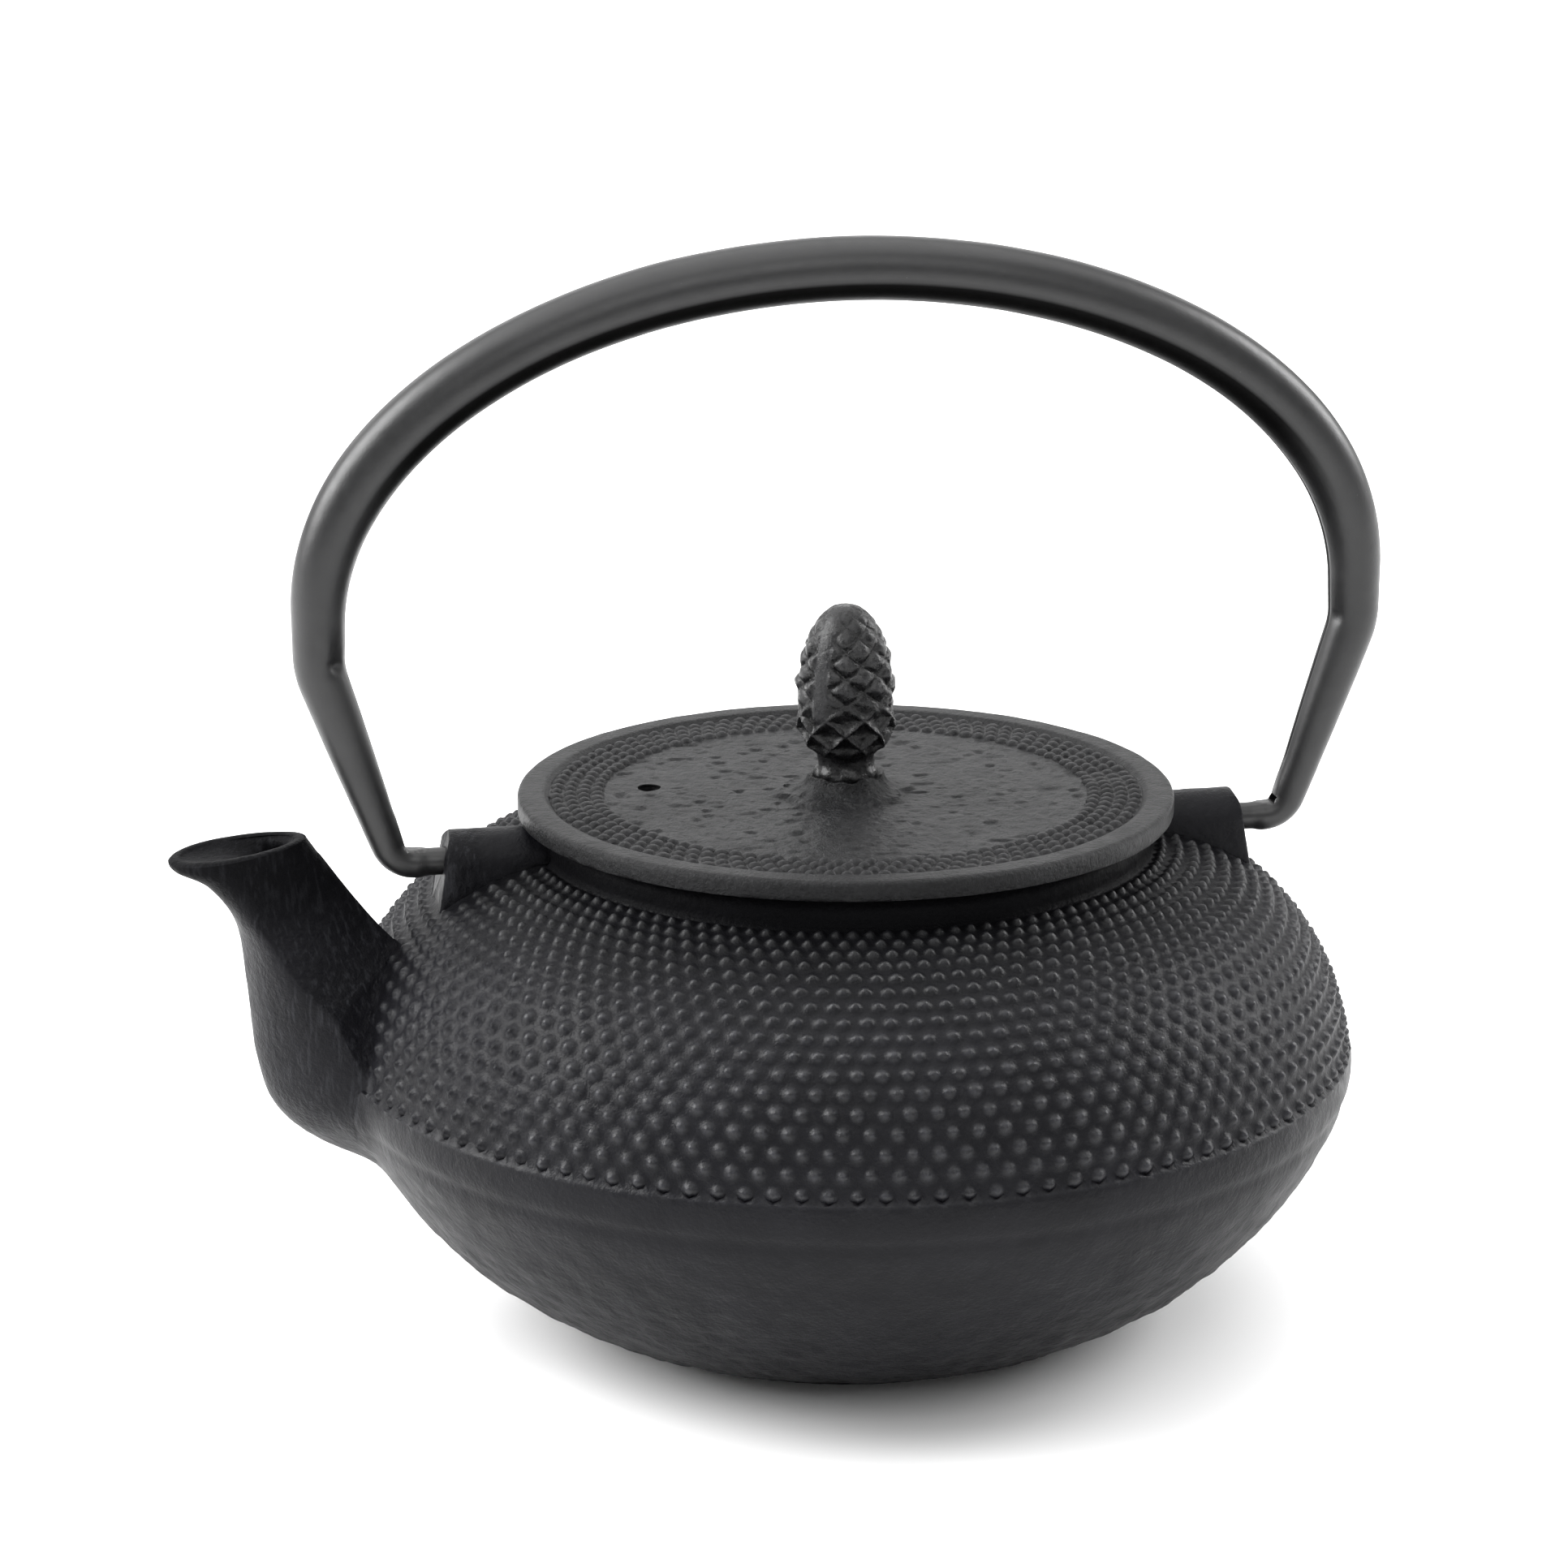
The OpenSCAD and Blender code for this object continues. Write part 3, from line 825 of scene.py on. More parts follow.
def tube_turns():
    """Angles round the tube from its inner side, closer together at the seam."""
    seam = np.radians([2.2, 4.4, 7, 10.5])
    rest = np.linspace(math.radians(16), 2 * math.pi - math.radians(16), TUBE_AROUND - 9)
    return np.concatenate([[0], seam, rest, 2 * math.pi - seam[::-1]])


def tube_section(x, z, heading, r, turn, side):
    """One ring of the bail's tube, with its open seam and the flat inner side of its legs."""
    seamed = float(smoothstep(z, 84, 90))
    groove = np.exp(-(side / math.radians(4.2)) ** 2) * 0.55 * seamed
    lips = np.exp(-((side - math.radians(10.5)) / math.radians(5)) ** 2) * 0.07 * seamed
    leg = float(smoothstep(z, 82, 88) * (1 - smoothstep(z, 106, 122)))
    flat = leg * 0.32 * np.clip(np.cos(turn), 0, 1) ** 4
    rr = r - groove + lips - flat
    out = rr * np.cos(turn)
    return np.stack([x - out * math.sin(heading), rr * np.sin(turn),
                     z + out * math.cos(heading)], 1)


def bail_tube():
    """The whole tube. Its inner side, which only sees the pot, is marked for painted shade: a
    darker, duller band along the arch's top that stands for the pot's dark reflection.
    """
    half = half_bail()
    line = half + [(-x, z, -heading, r) for x, z, heading, r in half[-2::-1]]
    turn = tube_turns()
    side = np.minimum(turn, 2 * math.pi - turn)
    # Painted shade: a dark band on the inner side of the arch's top, for the pot's dark reflection
    # there
    inner_band_shade = 1 - smoothstep(side, math.radians(66), math.radians(76))
    rings = [tube_section(*place, turn, side) for place in line]
    inner = [inner_band_shade * float(smoothstep(z, 128, 150)) for _, z, _, _ in line]
    bail = loft("bail_handle_tube", rings[::-1])
    store(bail, "inner", np.concatenate(inner[::-1] + [np.zeros(2)]))
    return bail


def bail_handle(material):
    bail = bail_tube()
    p, n = points_of(bail), normals_of(bail)
    dents = np.zeros(len(p))
    for place, size, depth in DIMPLES:
        far = np.linalg.norm(p - np.array(place), axis=1)
        dents += depth * np.exp(-(far / size) ** 2)
    slow = noise(p, 16, 21) * 0.06 + noise(p, 6, 22) * 0.02 - 0.07
    slow *= smoothstep(p[:, 2], 81, 88)
    move_points(bail, p + n * (slow - dents)[:, None])
    combine(bail, [corner_wedge(1), corner_wedge(-1), seam_pocket()], "DIFFERENCE")
    p = points_of(bail)
    rubbed = np.exp(-((p[:, 0] + BEND_X - 0.6) / 1.4) ** 2) * smoothstep(p[:, 2], 80.2, 80.5)
    store(bail, "wear", rubbed * (p[:, 2] < 84))
    return finish_piece(bail, "bail", ["bail_handle"], material, 50)


INNER = np.array([-LEG_UP[1], LEG_UP[0]])
PIN_TOP_Z = PIVOT_Z + 2.12
LEG_EDGE = LEG_START + INNER * 2.35
CORNER = LEG_EDGE + LEG_UP * (PIN_TOP_Z - LEG_EDGE[1]) / LEG_UP[1]


def prism(name, outline, half_width, way):
    rings = [np.array([(way * x, y, z) for x, z in outline]) for y in (-half_width, half_width)]
    return loft(name, rings)


def corner_wedge(way):
    """Leaves the sharp inner corner where the tube is pressed flat and bent."""
    top = CORNER + LEG_UP * 5.5
    end = CORNER - np.array([4.0, 0])
    outline = [CORNER, top + INNER * 0.35, top + INNER * 4, end + np.array([0, 5]),
               end + np.array([0, 0.25])]
    return prism("corner_wedge", outline, 4, way)


def seam_pocket():
    """The dark gap at the right corner, where the sheet's edges part."""
    mid = CORNER + LEG_UP * 0.55
    outline = [mid + INNER * 1.2 - LEG_UP * 0.5, mid - INNER * 1.3 - LEG_UP * 0.35,
               mid - INNER * 1.5 + LEG_UP * 0.55, mid + INNER * 1.2 + LEG_UP * 0.95]
    return prism("seam_pocket", outline, 1.5, 1)


# ---- Lid, knob and washer ----

LID_R = 52.9
LID_Z = 87.1
LID_LOW_Z = 83.0
LID_PLATE_Z = 86.35
WASHER_LOW_Z = LID_LOW_Z - 1
LID_DOTS_AROUND = 105
LID_ROWS = (40.0, 42.2, 44.4, 46.6)
LID_DOT_H = 0.72
LID_DOT_R = 1.16
LID_DOT_EDGES = (38.9, 47.7)
LID_DOT_RINGS = [(1.0, 0.06), (0.8, 0.56), (0.4, 0.93)]
LID_HOLE_R = 2.62
BOSS_Z = 88.9
BOSS_TOP_R = 5.6
TANG_R = 2.5
VENT_R = 1.85
VENT_AT = (31.8 * math.cos(math.radians(165)), 31.8 * math.sin(math.radians(165)))


def on_lid(s, angle, height):
    return np.stack([s * np.cos(angle), s * np.sin(angle), LID_PLATE_Z + height], 1)


def lid_outline():
    """Outline of the lid outside its dots: the band, the rim and the underside."""
    band = [(47.95, LID_PLATE_Z + 0.1)] + above(LID_Z, [
        (48.25, -0.42), (48.6, -0.1), (49.1, 0), (50.2, 0), (51.4, -0.02), (52.15, -0.06),
        (52.5, -0.2), (52.74, -0.42), (52.87, -0.8), (LID_R, -1.3), (LID_R, -2.5)])
    rim_low = [(52.78, 1.0), (52.45, 0.76), (52.0, 0.7), (50, 0.7), (47.9, 0.7), (47.6, 0.5)]
    ring_out = [(47.5, 0), (43, 0), (38.4, 0), (37.8, -0.5), (37.6, -1.2), (37.6, -3),
                (37.55, -6), (37.45, -8.8), (37.2, -9.4), (36.8, -9.6)]
    ring_in = [(36, -9.6), (35.5, -9.4), (35.25, -8.8), (35.2, -6), (35.2, -3),
               (35.15, -0.8), (34.6, -0.15), (33.6, 0), (24, 0), (14, 0), (6.5, 0)]
    return band + above(LID_LOW_Z, rim_low + ring_out + ring_in)


def lid_skin():
    """The lid as one closed skin with its dots, flat where the boss will rise."""
    skin = Skin()
    around = 4 * LID_DOTS_AROUND
    inner = [LID_HOLE_R, 3.6, 4.6, *np.linspace(BOSS_TOP_R, 11.5, 16),
             *np.linspace(12.1, 38.4, 64)]
    rings = skin.turned([(r, LID_PLATE_Z) for r in inner], around)

    def share(points):
        return 1 - 0.35 * smoothstep(noise(points, 9, 31), 0.1, 0.8)

    first, last = dot_field(skin, np.array(LID_ROWS), on_lid, LID_DOTS_AROUND,
                            LID_DOT_EDGES, lambda s, r: LID_DOT_R, LID_DOT_H, share,
                            dot_rings=LID_DOT_RINGS)
    skin.join_all(rings + [first])
    outer = [last] + skin.turned(lid_outline() + [(LID_HOLE_R, LID_LOW_Z)], around)
    skin.join_all(outer + rings[:1])
    return skin


def boss_height(p):
    """How far the plate rises round the knob: a boss, its ragged foot and a torn edge."""
    r = np.hypot(p[:, 0], p[:, 1])
    angle = np.arctan2(p[:, 1], p[:, 0])
    unit = np.stack([np.cos(angle), np.sin(angle), np.zeros(len(p))], 1)
    full = BOSS_Z - LID_PLATE_Z
    edge = 10.4 + 1.5 * noise(unit * 3, 1, 32) + 0.5 * noise(unit * 9, 1, 33)
    edge += 1.3 * np.exp(-((angle + 2.9) / 0.5) ** 2)
    rise = full * (1 - np.clip((r - BOSS_TOP_R) / 4.2, 0, 1)) ** 2.6
    rise *= 1 + 0.25 * noise(p, 2.3, 43) * (r > BOSS_TOP_R)
    mound = np.minimum(rise + 0.5 * (1 - smoothstep(r, edge - 1.1, edge)), full)
    torn = np.maximum(0, 0.5 + 0.5 * noise(p, 1.7, 44))
    return mound + torn * np.exp(-((r - 5.85) / 0.42) ** 2)


def vent_hole():
    """The steam hole, which isn't quite round and widens at the plate's top."""
    rings = []
    for z in (LID_LOW_Z - 1, LID_LOW_Z + 1, LID_PLATE_Z - 0.5, LID_PLATE_Z - 0.05,
              LID_PLATE_Z + 0.3, LID_PLATE_Z + 1):
        ring = ring_points(1, 0, 36)
        ragged = VENT_R * (1 + 0.09 * noise(ring * 2.2 + z * 0.4, 1, 34))
        ragged += 0.3 * max(0, z - LID_PLATE_Z + 0.3)
        rings.append(ring * ragged[:, None] + np.array([*VENT_AT, z]))
    return loft("vent", rings)


def lid_roughness(obj):
    """Gives the plate its grain and pits, and the rim and the boss their waves."""
    p, n = points_of(obj), normals_of(obj)
    r = np.hypot(p[:, 0], p[:, 1])
    plate = smoothstep(p[:, 2], LID_PLATE_Z - 0.3, LID_PLATE_Z - 0.15) * (r < 39)
    band = (r > 47.9) * (p[:, 2] > LID_LOW_Z + 0.9)
    mounded = (r < 11.5) & (p[:, 2] > LID_PLATE_Z + 0.5)
    peel = noise(p, 1.0, 45) * 0.1 + noise(p, 1.9, 35) * 0.12 + noise(p, 4, 36) * 0.07
    pits = -np.maximum(0, noise(p, (2.4, 1.7, 1), 37) - 0.35) * 0.8
    rough_boss = (noise(p, 1.0, 38) * 0.22 + noise(p, 1.9, 39) * 0.3) * (r > 5.2)
    move = plate * (peel + pits) * (1 - mounded) + mounded * rough_boss * 0.6
    move = move + band * (noise(p, 2.4, 40) * 0.035 + noise(p, 7, 41) * 0.05)
    move = move * (r > 2.8)
    wave = (noise(p, 24, 42) * 0.06 - 0.06) * (p[:, 2] > LID_LOW_Z + 0.8)
    p = p + n * move[:, None]
    p[:, 2] += wave
    move_points(obj, p)
    store(obj, "rough", np.clip(plate * 0.9 + band * 0.5 + mounded * 0.5, 0, 1))
    # Lid dot tips, marked for a lighter colour: partly wear from handling, partly painted highlight
    dots = (r > LID_DOT_EDGES[0]) & (r < 47.8) & (p[:, 2] > LID_PLATE_Z - 0.2)
    store(obj, "tip_wear_and_highlight", dots * np.clip((p[:, 2] - LID_PLATE_Z) / LID_DOT_H, 0, 1))


def lid(material):
    skin = lid_skin()
    p = skin.all_points()
    plate = (p[:, 2] > LID_LOW_Z + 0.2) & (np.hypot(p[:, 0], p[:, 1]) < 38.8)
    p[:, 2] += plate * boss_height(p)
    obj = new_object("lid_casting", p, skin.faces)
    combine(obj, [vent_hole()], "DIFFERENCE")
    lid_roughness(obj)
    return finish_piece(obj, "lid", ["lid"], material, 48)


KNOB_R = 8.2
KNOB_TOP_Z = 117.3
KNOB_WIDE_Z = 100.6
KNOB_NECK_Z = 92.8
KNOB_NECK_R = 4.6
KNOB_AROUND = 180
SCALES_AROUND = 8
STRIPE_ANGLE = math.radians(-134)


def knob_curve():
    """The pine cone's outline without its scales, from the neck up."""
    t = np.linspace(0, 1, 60)
    low_r = KNOB_NECK_R + (KNOB_R - 0.35 - KNOB_NECK_R) * np.sin(math.pi / 2 * t)
    low_z = KNOB_NECK_Z + (KNOB_WIDE_Z - KNOB_NECK_Z) * (0.5 * (1 - np.cos(math.pi / 2 * t))
                                                         + 0.5 * t)
    a = np.linspace(0, math.pi / 2, 110)[1:]
    high_r = (KNOB_R - 0.35) * np.cos(a) ** 0.88
    high_z = KNOB_WIDE_Z + (KNOB_TOP_Z - KNOB_WIDE_Z) * np.sin(a)
    return np.concatenate([low_r, high_r]), np.concatenate([low_z, high_z])


def knob_skin():
    """The knob without its scales: the peened end of its tang, its collar and its cone."""
    peened = [(2.6, -1.6), (3.3, -1.45), (3.9, -1.05), (4.2, -0.5), (4.15, -0.05), (3.9, 0),
              (TANG_R, 0.01)]
    collar = [(TANG_R, -0.02), (2.8, 0), (4.6, 0), (4.95, 0.03), (5.1, 0.25), (5.12, 0.6),
              (5.05, 0.95), (4.9, 1.25), (4.75, 1.6), (4.6, 2.0), (4.55, 2.5), (4.55, 3.1)]
    stem = above(WASHER_LOW_Z, peened) + [(TANG_R, 84.5)] + above(BOSS_Z, collar)
    r, z = knob_curve()
    outline = stem + list(zip(r[1:-1], z[1:-1]))
    return loft_skin([ring_points(a, b, KNOB_AROUND) for a, b in outline])


def scale_pattern(p, angle):
    """The scales' heights, and how near each point is to the high part of a scale. Low
    scales are diamonds with raised edges, and high ones are rounded lumps."""
    r, z = knob_curve()
    arc = np.concatenate([[0], np.cumsum(np.hypot(np.diff(r), np.diff(z)))])
    along = np.interp(p[:, 2], z, arc)
    period = 5.6 - 1.2 * along / arc[-1]
    v = along / period
    u = SCALES_AROUND * (angle + 0.2) / (2 * math.pi)
    wobble = noise(p, 4, 50) * 0.05
    fa, fb = np.mod(u + v + wobble, 1), np.mod(u - v - wobble, 1)
    pillow = 16 * fa * (1 - fa) * fb * (1 - fb)
    edge = np.minimum(np.minimum(fa, 1 - fa), np.minimum(fb, 1 - fb))
    ridge = np.exp(-(edge / 0.09) ** 2)
    lump = np.clip(pillow, 0, 1) ** 0.45
    upper = smoothstep(p[:, 2], 98, 105)
    height = upper * (1.15 * lump - 0.7) + (1 - upper) * (0.45 * ridge - 0.7 * pillow ** 0.6)
    return height, np.clip(upper * lump + (1 - upper) * ridge, 0, 1)


def casting_line(p, angle):
    """The smooth strips where the two halves of the knob's mould met."""
    radius = np.hypot(p[:, 0], p[:, 1])
    strip = np.zeros(len(p))
    for centre in (STRIPE_ANGLE, STRIPE_ANGLE + math.pi):
        gap = np.abs(np.mod(angle - centre + math.pi, 2 * math.pi) - math.pi) * radius
        strip = np.maximum(strip, 1 - smoothstep(gap, 1.05, 1.8))
    return strip * smoothstep(p[:, 2], 97.5, 100)


def lid_knob(material):
    skin = knob_skin()
    p = skin.all_points()
    obj = facing_out(skin, "lid_knob_cone")
    n = normals_of(obj)
    angle = np.arctan2(p[:, 1], p[:, 0])
    scales, ridge = scale_pattern(p, angle)
    stripe = casting_line(p, angle)
    cone = smoothstep(p[:, 2], KNOB_NECK_Z + 0.2, KNOB_NECK_Z + 1.8)
    cone *= 1 - 0.85 * smoothstep(p[:, 2], KNOB_TOP_Z - 9, KNOB_TOP_Z - 1)
    coarse = noise(p, 1.5, 51) * 0.2 + noise(p, 0.8, 52) * 0.08
    move = cone * ((1 - stripe) * (scales + coarse) + stripe * 0.12)
    collar = (p[:, 2] > BOSS_Z + 0.05) * (1 - smoothstep(p[:, 2], 92, 93.5))
    move += collar * noise(p, 1.1, 53) * 0.22
    move_points(obj, p + n * move[:, None])
    # Marks the scales' ridges and high lumps for a painted highlight
    store(obj, "ridge", cone * (1 - stripe) * ridge)
    store(obj, "stripe", stripe * cone)
    return finish_piece(obj, "lid", ["lid_knob"], material, 60)


def knob_washer(material):
    section = [(2.6, 0.88), (2.72, 1), (5.7, 1), (5.9, 0.92), (6, 0.7), (6, 0.3), (5.9, 0.08),
               (5.7, 0), (2.72, 0), (2.6, 0.12)]
    obj = closed_ring("knob_washer_disc", above(WASHER_LOW_Z, section), 72)
    p = points_of(obj)
    p[:, 2] += (p[:, 2] < WASHER_LOW_Z + 0.5) * noise(p, 2, 60) * 0.03
    move_points(obj, p)
    return finish_piece(obj, "lid", ["knob_washer"], material, 50)


# ---- Strainer ----

RIM_R = 44.1
BASKET_R = 38.6
BASKET_Z = 38.5
RIM_Z = 79.2
SHEET = 0.5
MESH_T = 0.4
COLLAR_LOW_Z = 71
CUP_H = 5
FLOOR_R = BASKET_R - 2
HOLES_AROUND = 96
HOLE_ROWS = 13
MESH_TOP_Z = COLLAR_LOW_Z + 2.6
MESH_LOW_Z = BASKET_Z + SHEET + 0.1


def strainer_rim(material):
    inner = BASKET_R - SHEET
    top = [(inner, -1.4), (inner + 0.15, -0.7), (inner + 0.5, -0.2), (inner + 1.1, -0.05),
           (40.6, -0.05), (41.1, 0), (42.2, 0), (42.7, -0.1), (43.3, -0.05), (43.8, -0.1),
           (RIM_R, -0.35)]
    under = [(RIM_R, 0.3), (43.8, 0.06), (43.2, 0), (41, 0), (39.6, 0), (39.0, -0.1),
             (BASKET_R + 0.05, -0.5), (BASKET_R, -1.1)]
    outline = [(inner, COLLAR_LOW_Z), (inner, 74)] + above(RIM_Z + 0.8, top) + \
        above(RIM_Z, under) + [(BASKET_R, 74), (BASKET_R, COLLAR_LOW_Z)]
    obj = closed_ring("strainer_rim_flange", outline, 180)
    return finish_piece(obj, "strainer", ["strainer_rim"], material, 40)


def on_mesh(z, angle, depth):
    """A point on the mesh wall, which narrows from the collar down to the cup."""
    shape_z = (MESH_LOW_Z, BASKET_Z + CUP_H, COLLAR_LOW_Z, MESH_TOP_Z)
    low_r, top_r = FLOOR_R - SHEET, BASKET_R - SHEET
    r = np.interp(z, shape_z, (low_r, low_r, top_r, top_r)) - 0.02 - depth
    return np.stack([r * np.cos(angle), r * np.sin(angle), z], 1)


def mesh_side(skin, depth):
    """Adds one side of the mesh wall, depth below its outside, with rows of holes.
    Returns the rings at its top and bottom, and the holes' outlines."""
    columns = 2 * HOLES_AROUND
    step = math.pi / HOLES_AROUND
    m = np.arange(columns)
    hole_top, hole_low = COLLAR_LOW_Z - 1.2, BASKET_Z + CUP_H + 1.2
    gap = (hole_top - hole_low) / HOLE_ROWS
    corners = []
    for i in range(HOLE_ROWS + 1):
        level = i - 0.5 + np.where(m % 2 == i % 2, -1 / 6, 1 / 6)
        if i in (0, HOLE_ROWS):
            level = np.full(columns, i - 0.5)
        corners.append(skin.add(on_mesh(hole_top - gap * (level + 0.5), m * step, depth)))
    holes = []
    for i in range(HOLE_ROWS):
        centre = np.arange(HOLES_AROUND) * 2 + i % 2
        upper, lower = corners[i], corners[i + 1]
        outline = [upper[(centre + dm) % columns] for dm in (-1, 0, 1)]
        outline += [lower[(centre + dm) % columns] for dm in (1, 0, -1)]
        mid_z = hole_top - gap * (i + 0.5)
        ring = []
        for turn in np.radians([150, 90, 30, -30, -90, -150]):
            z = np.full(HOLES_AROUND, mid_z + 0.36 * gap * math.sin(turn) * 1.25)
            angle = centre * step + step * 0.78 * math.cos(turn)
            ring.append(skin.add(on_mesh(z, angle, depth)))
        holes.append(np.stack(ring, 1))
        skin.fill_between(np.stack(outline, 1), holes[-1], flip=depth > 0)
    top, low, cup = [skin.add(on_mesh(np.full(columns, z), m * step, depth))
                     for z in (MESH_TOP_Z, MESH_LOW_Z, BASKET_Z + CUP_H)]
    for a, b in ((top, corners[0]), (corners[-1], cup), (cup, low)):
        skin.join(*((b, a) if depth else (a, b)))
    return top, low, holes


def strainer_mesh(material):
    """The rolled wall with its rows of six-sided holes."""
    skin = Skin()
    top, low, holes = mesh_side(skin, 0.0)
    inner_top, inner_low, inner_holes = mesh_side(skin, MESH_T)
    skin.join(inner_top, top)
    skin.join(low, inner_low)
    for outer, inner in zip(holes, inner_holes):
        skin.fill_between(outer, inner)
    obj = facing_out(skin, "strainer_mesh_wall")
    return finish_piece(obj, "strainer", ["strainer_mesh"], material, 35)


def strainer_base(material):
    """A shallow cup whose floor has two raised rings."""
    floor = [(31, 0), (30.2, 0.1), (29, 0.7), (27.8, 0.1), (27, 0),
             (14, 0), (13.2, 0.1), (12, 0.6), (10.8, 0.1), (10, 0)]
    inside = [(r, height + SHEET) for r, height in floor[::-1]]
    inside += [(FLOOR_R - 1.2, SHEET), (FLOOR_R - SHEET - 0.1, 1), (FLOOR_R - SHEET, 1.6),
               (FLOOR_R - SHEET, CUP_H)]
    outside = [(FLOOR_R, CUP_H), (FLOOR_R, 1.2), (FLOOR_R - 0.3, 0.4), (FLOOR_R - 1, 0)] + floor
    outline = above(BASKET_Z, [(0, SHEET)] + inside + outside + [(0, 0)])
    obj = revolve("strainer_base_cup", outline, 144)
    return finish_piece(obj, "strainer", ["strainer_base"], material, 40)


# ---- Materials ----

class Nodes:
    """Short ways to add and link the nodes of one material."""

    def __init__(self, name):
        self.material = bpy.data.materials.new(name)
        self.material.use_nodes = True
        self.tree = self.material.node_tree
        self.shader = self.tree.nodes["Principled BSDF"]
        self.place = self.add("ShaderNodeTexCoord").outputs["Object"]

    def add(self, kind, **values):
        node = self.tree.nodes.new(kind)
        for name, value in values.items():
            setattr(node, name, value)
        return node

    def feed(self, socket, value):
        if isinstance(value, bpy.types.NodeSocket):
            self.tree.links.new(value, socket)
        else:
            socket.default_value = value

    def noise(self, size_mm, detail=3.0, stretch=(1, 1, 1), roughness=0.55):
        scale = self.add("ShaderNodeMapping")
        self.feed(scale.inputs["Vector"], self.place)
        scale.inputs["Scale"].default_value = [1000 / size_mm / s for s in stretch]
        node = self.add("ShaderNodeTexNoise")
        self.feed(node.inputs["Vector"], scale.outputs["Vector"])
        node.inputs["Scale"].default_value = 1
        node.inputs["Detail"].default_value = detail
        node.inputs["Roughness"].default_value = roughness
        return node.outputs["Fac"]

    def attribute(self, name):
        return self.add("ShaderNodeAttribute", attribute_name=name).outputs["Fac"]

    def math(self, operation, a, b=0.0, clamp=False):
        node = self.add("ShaderNodeMath", operation=operation, use_clamp=clamp)
        self.feed(node.inputs[0], a)
        self.feed(node.inputs[1], b)
        return node.outputs[0]

    def between(self, value, low, high, to_low=0.0, to_high=1.0):
        node = self.add("ShaderNodeMapRange")
        for name, number in (("Value", value), ("From Min", low), ("From Max", high),
                             ("To Min", to_low), ("To Max", to_high)):
            self.feed(node.inputs[name], number)
        return node.outputs["Result"]

    def mix(self, share, a, b):
        node = self.add("ShaderNodeMix", data_type="RGBA")
        self.feed(node.inputs["Factor"], share)
        self.feed(node.inputs[6], a)
        self.feed(node.inputs[7], b)
        return node.outputs[2]

    def times(self, a, b):
        return self.math("MULTIPLY", a, b)

    def shade(self, name, value):
        """Sets or feeds one socket of the shader."""
        self.feed(self.shader.inputs[name], value)

    def bump(self, height, depth_mm, below=None):
        node = self.add("ShaderNodeBump")
        node.inputs["Strength"].default_value = 1
        node.inputs["Distance"].default_value = depth_mm * MM
        self.feed(node.inputs["Height"], height)
        if below is not None:
            self.feed(node.inputs["Normal"], below)
        return node.outputs["Normal"]


def grey(level, blue=0.0):
    """A neutral colour, or one that leans a little to blue."""
    return (level, level, level + blue, 1)


def pot_iron():
    n = Nodes("pot_iron")
    rough = n.attribute("rough")
    tip_wear_and_highlight = n.attribute("tip_wear_and_highlight")
    inside = n.attribute("inside")
    streak = n.attribute("streak")
    cloud = n.noise(14, 4)
    speck = n.noise(0.9, 4, roughness=0.7)
    base = n.mix(n.between(cloud, 0.35, 0.65), grey(0.0046, 0.0012), grey(0.0068, 0.0017))
    # Lighter dot tips: partly wear from handling, partly painted highlight
    tips_worn_and_highlit = n.mix(n.times(tip_wear_and_highlight, n.between(speck, 0.4, 0.7)), base, (0.0205, 0.021, 0.026, 1))
    dusty = n.mix(n.times(n.between(speck, 0.62, 0.75), 0.5), tips_worn_and_highlit, (0.0165, 0.0168, 0.02, 1))
    brushed = n.noise(1.3, 3, stretch=(0.6, 0.6, 5))
    streaked = n.mix(n.times(streak, n.between(brushed, 0.52, 0.68)), dusty,
                     (0.0165, 0.0168, 0.0195, 1))
    # Painted shade under the lid and collar: a darker colour and less shine round the neck and on
    # the dome's top rows
    painted_collar_shade = n.attribute("painted_collar_shade")
    collar_shade_colour = n.mix(n.times(painted_collar_shade, 0.7), streaked, grey(0.003))
    colour = n.mix(inside, collar_shade_colour, grey(0.012, 0.001))
    n.shade("Base Color", colour)
    gloss = n.between(n.noise(5, 4), 0.35, 0.65, 0.36, 0.46)
    gloss = n.math("ADD", gloss, n.times(rough, 0.05))
    n.shade("Roughness", gloss)
    shine = n.between(painted_collar_shade, 0, 1, 0.135, 0.04)
    shine = n.math("SUBTRACT", shine, n.times(rough, 0.06), True)
    n.shade("Specular IOR Level", n.math("ADD", shine, n.times(tip_wear_and_highlight, 0.22)))
    fine = n.bump(n.noise(0.5, 3, roughness=0.7), 0.07)
    coarse = n.times(n.noise(1.5, 4, roughness=0.65), n.math("ADD", rough, 0.25))
    n.shade("Normal", n.bump(coarse, 0.42, fine))
    return n.material


def bail_paint():
    n = Nodes("bail_paint")
    wear = n.attribute("wear")
    cloud = n.noise(9, 4)
    base = n.mix(n.between(cloud, 0.35, 0.65), grey(0.004, 0.0005), grey(0.007, 0.0005))
    fleck = n.between(n.noise(0.7, 2, roughness=0.8), 0.74, 0.8)
    base = n.mix(n.times(fleck, 0.5), base, grey(0.09))
    worn = n.times(wear, n.between(n.noise(0.8, 4), 0.45, 0.6))
    # Painted shade: the arch's inner side gets a darker colour and less shine, standing for the
    # pot's dark reflection
    inner = n.attribute("inner")
    paint_and_inner_shade = n.mix(inner, base, grey(0.0015))
    n.shade("Base Color", n.mix(worn, paint_and_inner_shade, (0.06, 0.058, 0.056, 1)))
    shine = n.between(n.math("ADD", inner, n.times(cloud, 0.1)), 0.05, 1, 0.52, 0.05)
    n.shade("Specular IOR Level", shine)
    n.shade("Roughness", n.between(n.noise(2.2, 4), 0.3, 0.7, 0.36, 0.43))
    fine = n.bump(n.noise(0.35, 2, roughness=0.7), 0.012)
    n.shade("Normal", n.bump(n.noise(2.6, 3), 0.05, fine))
    return n.material


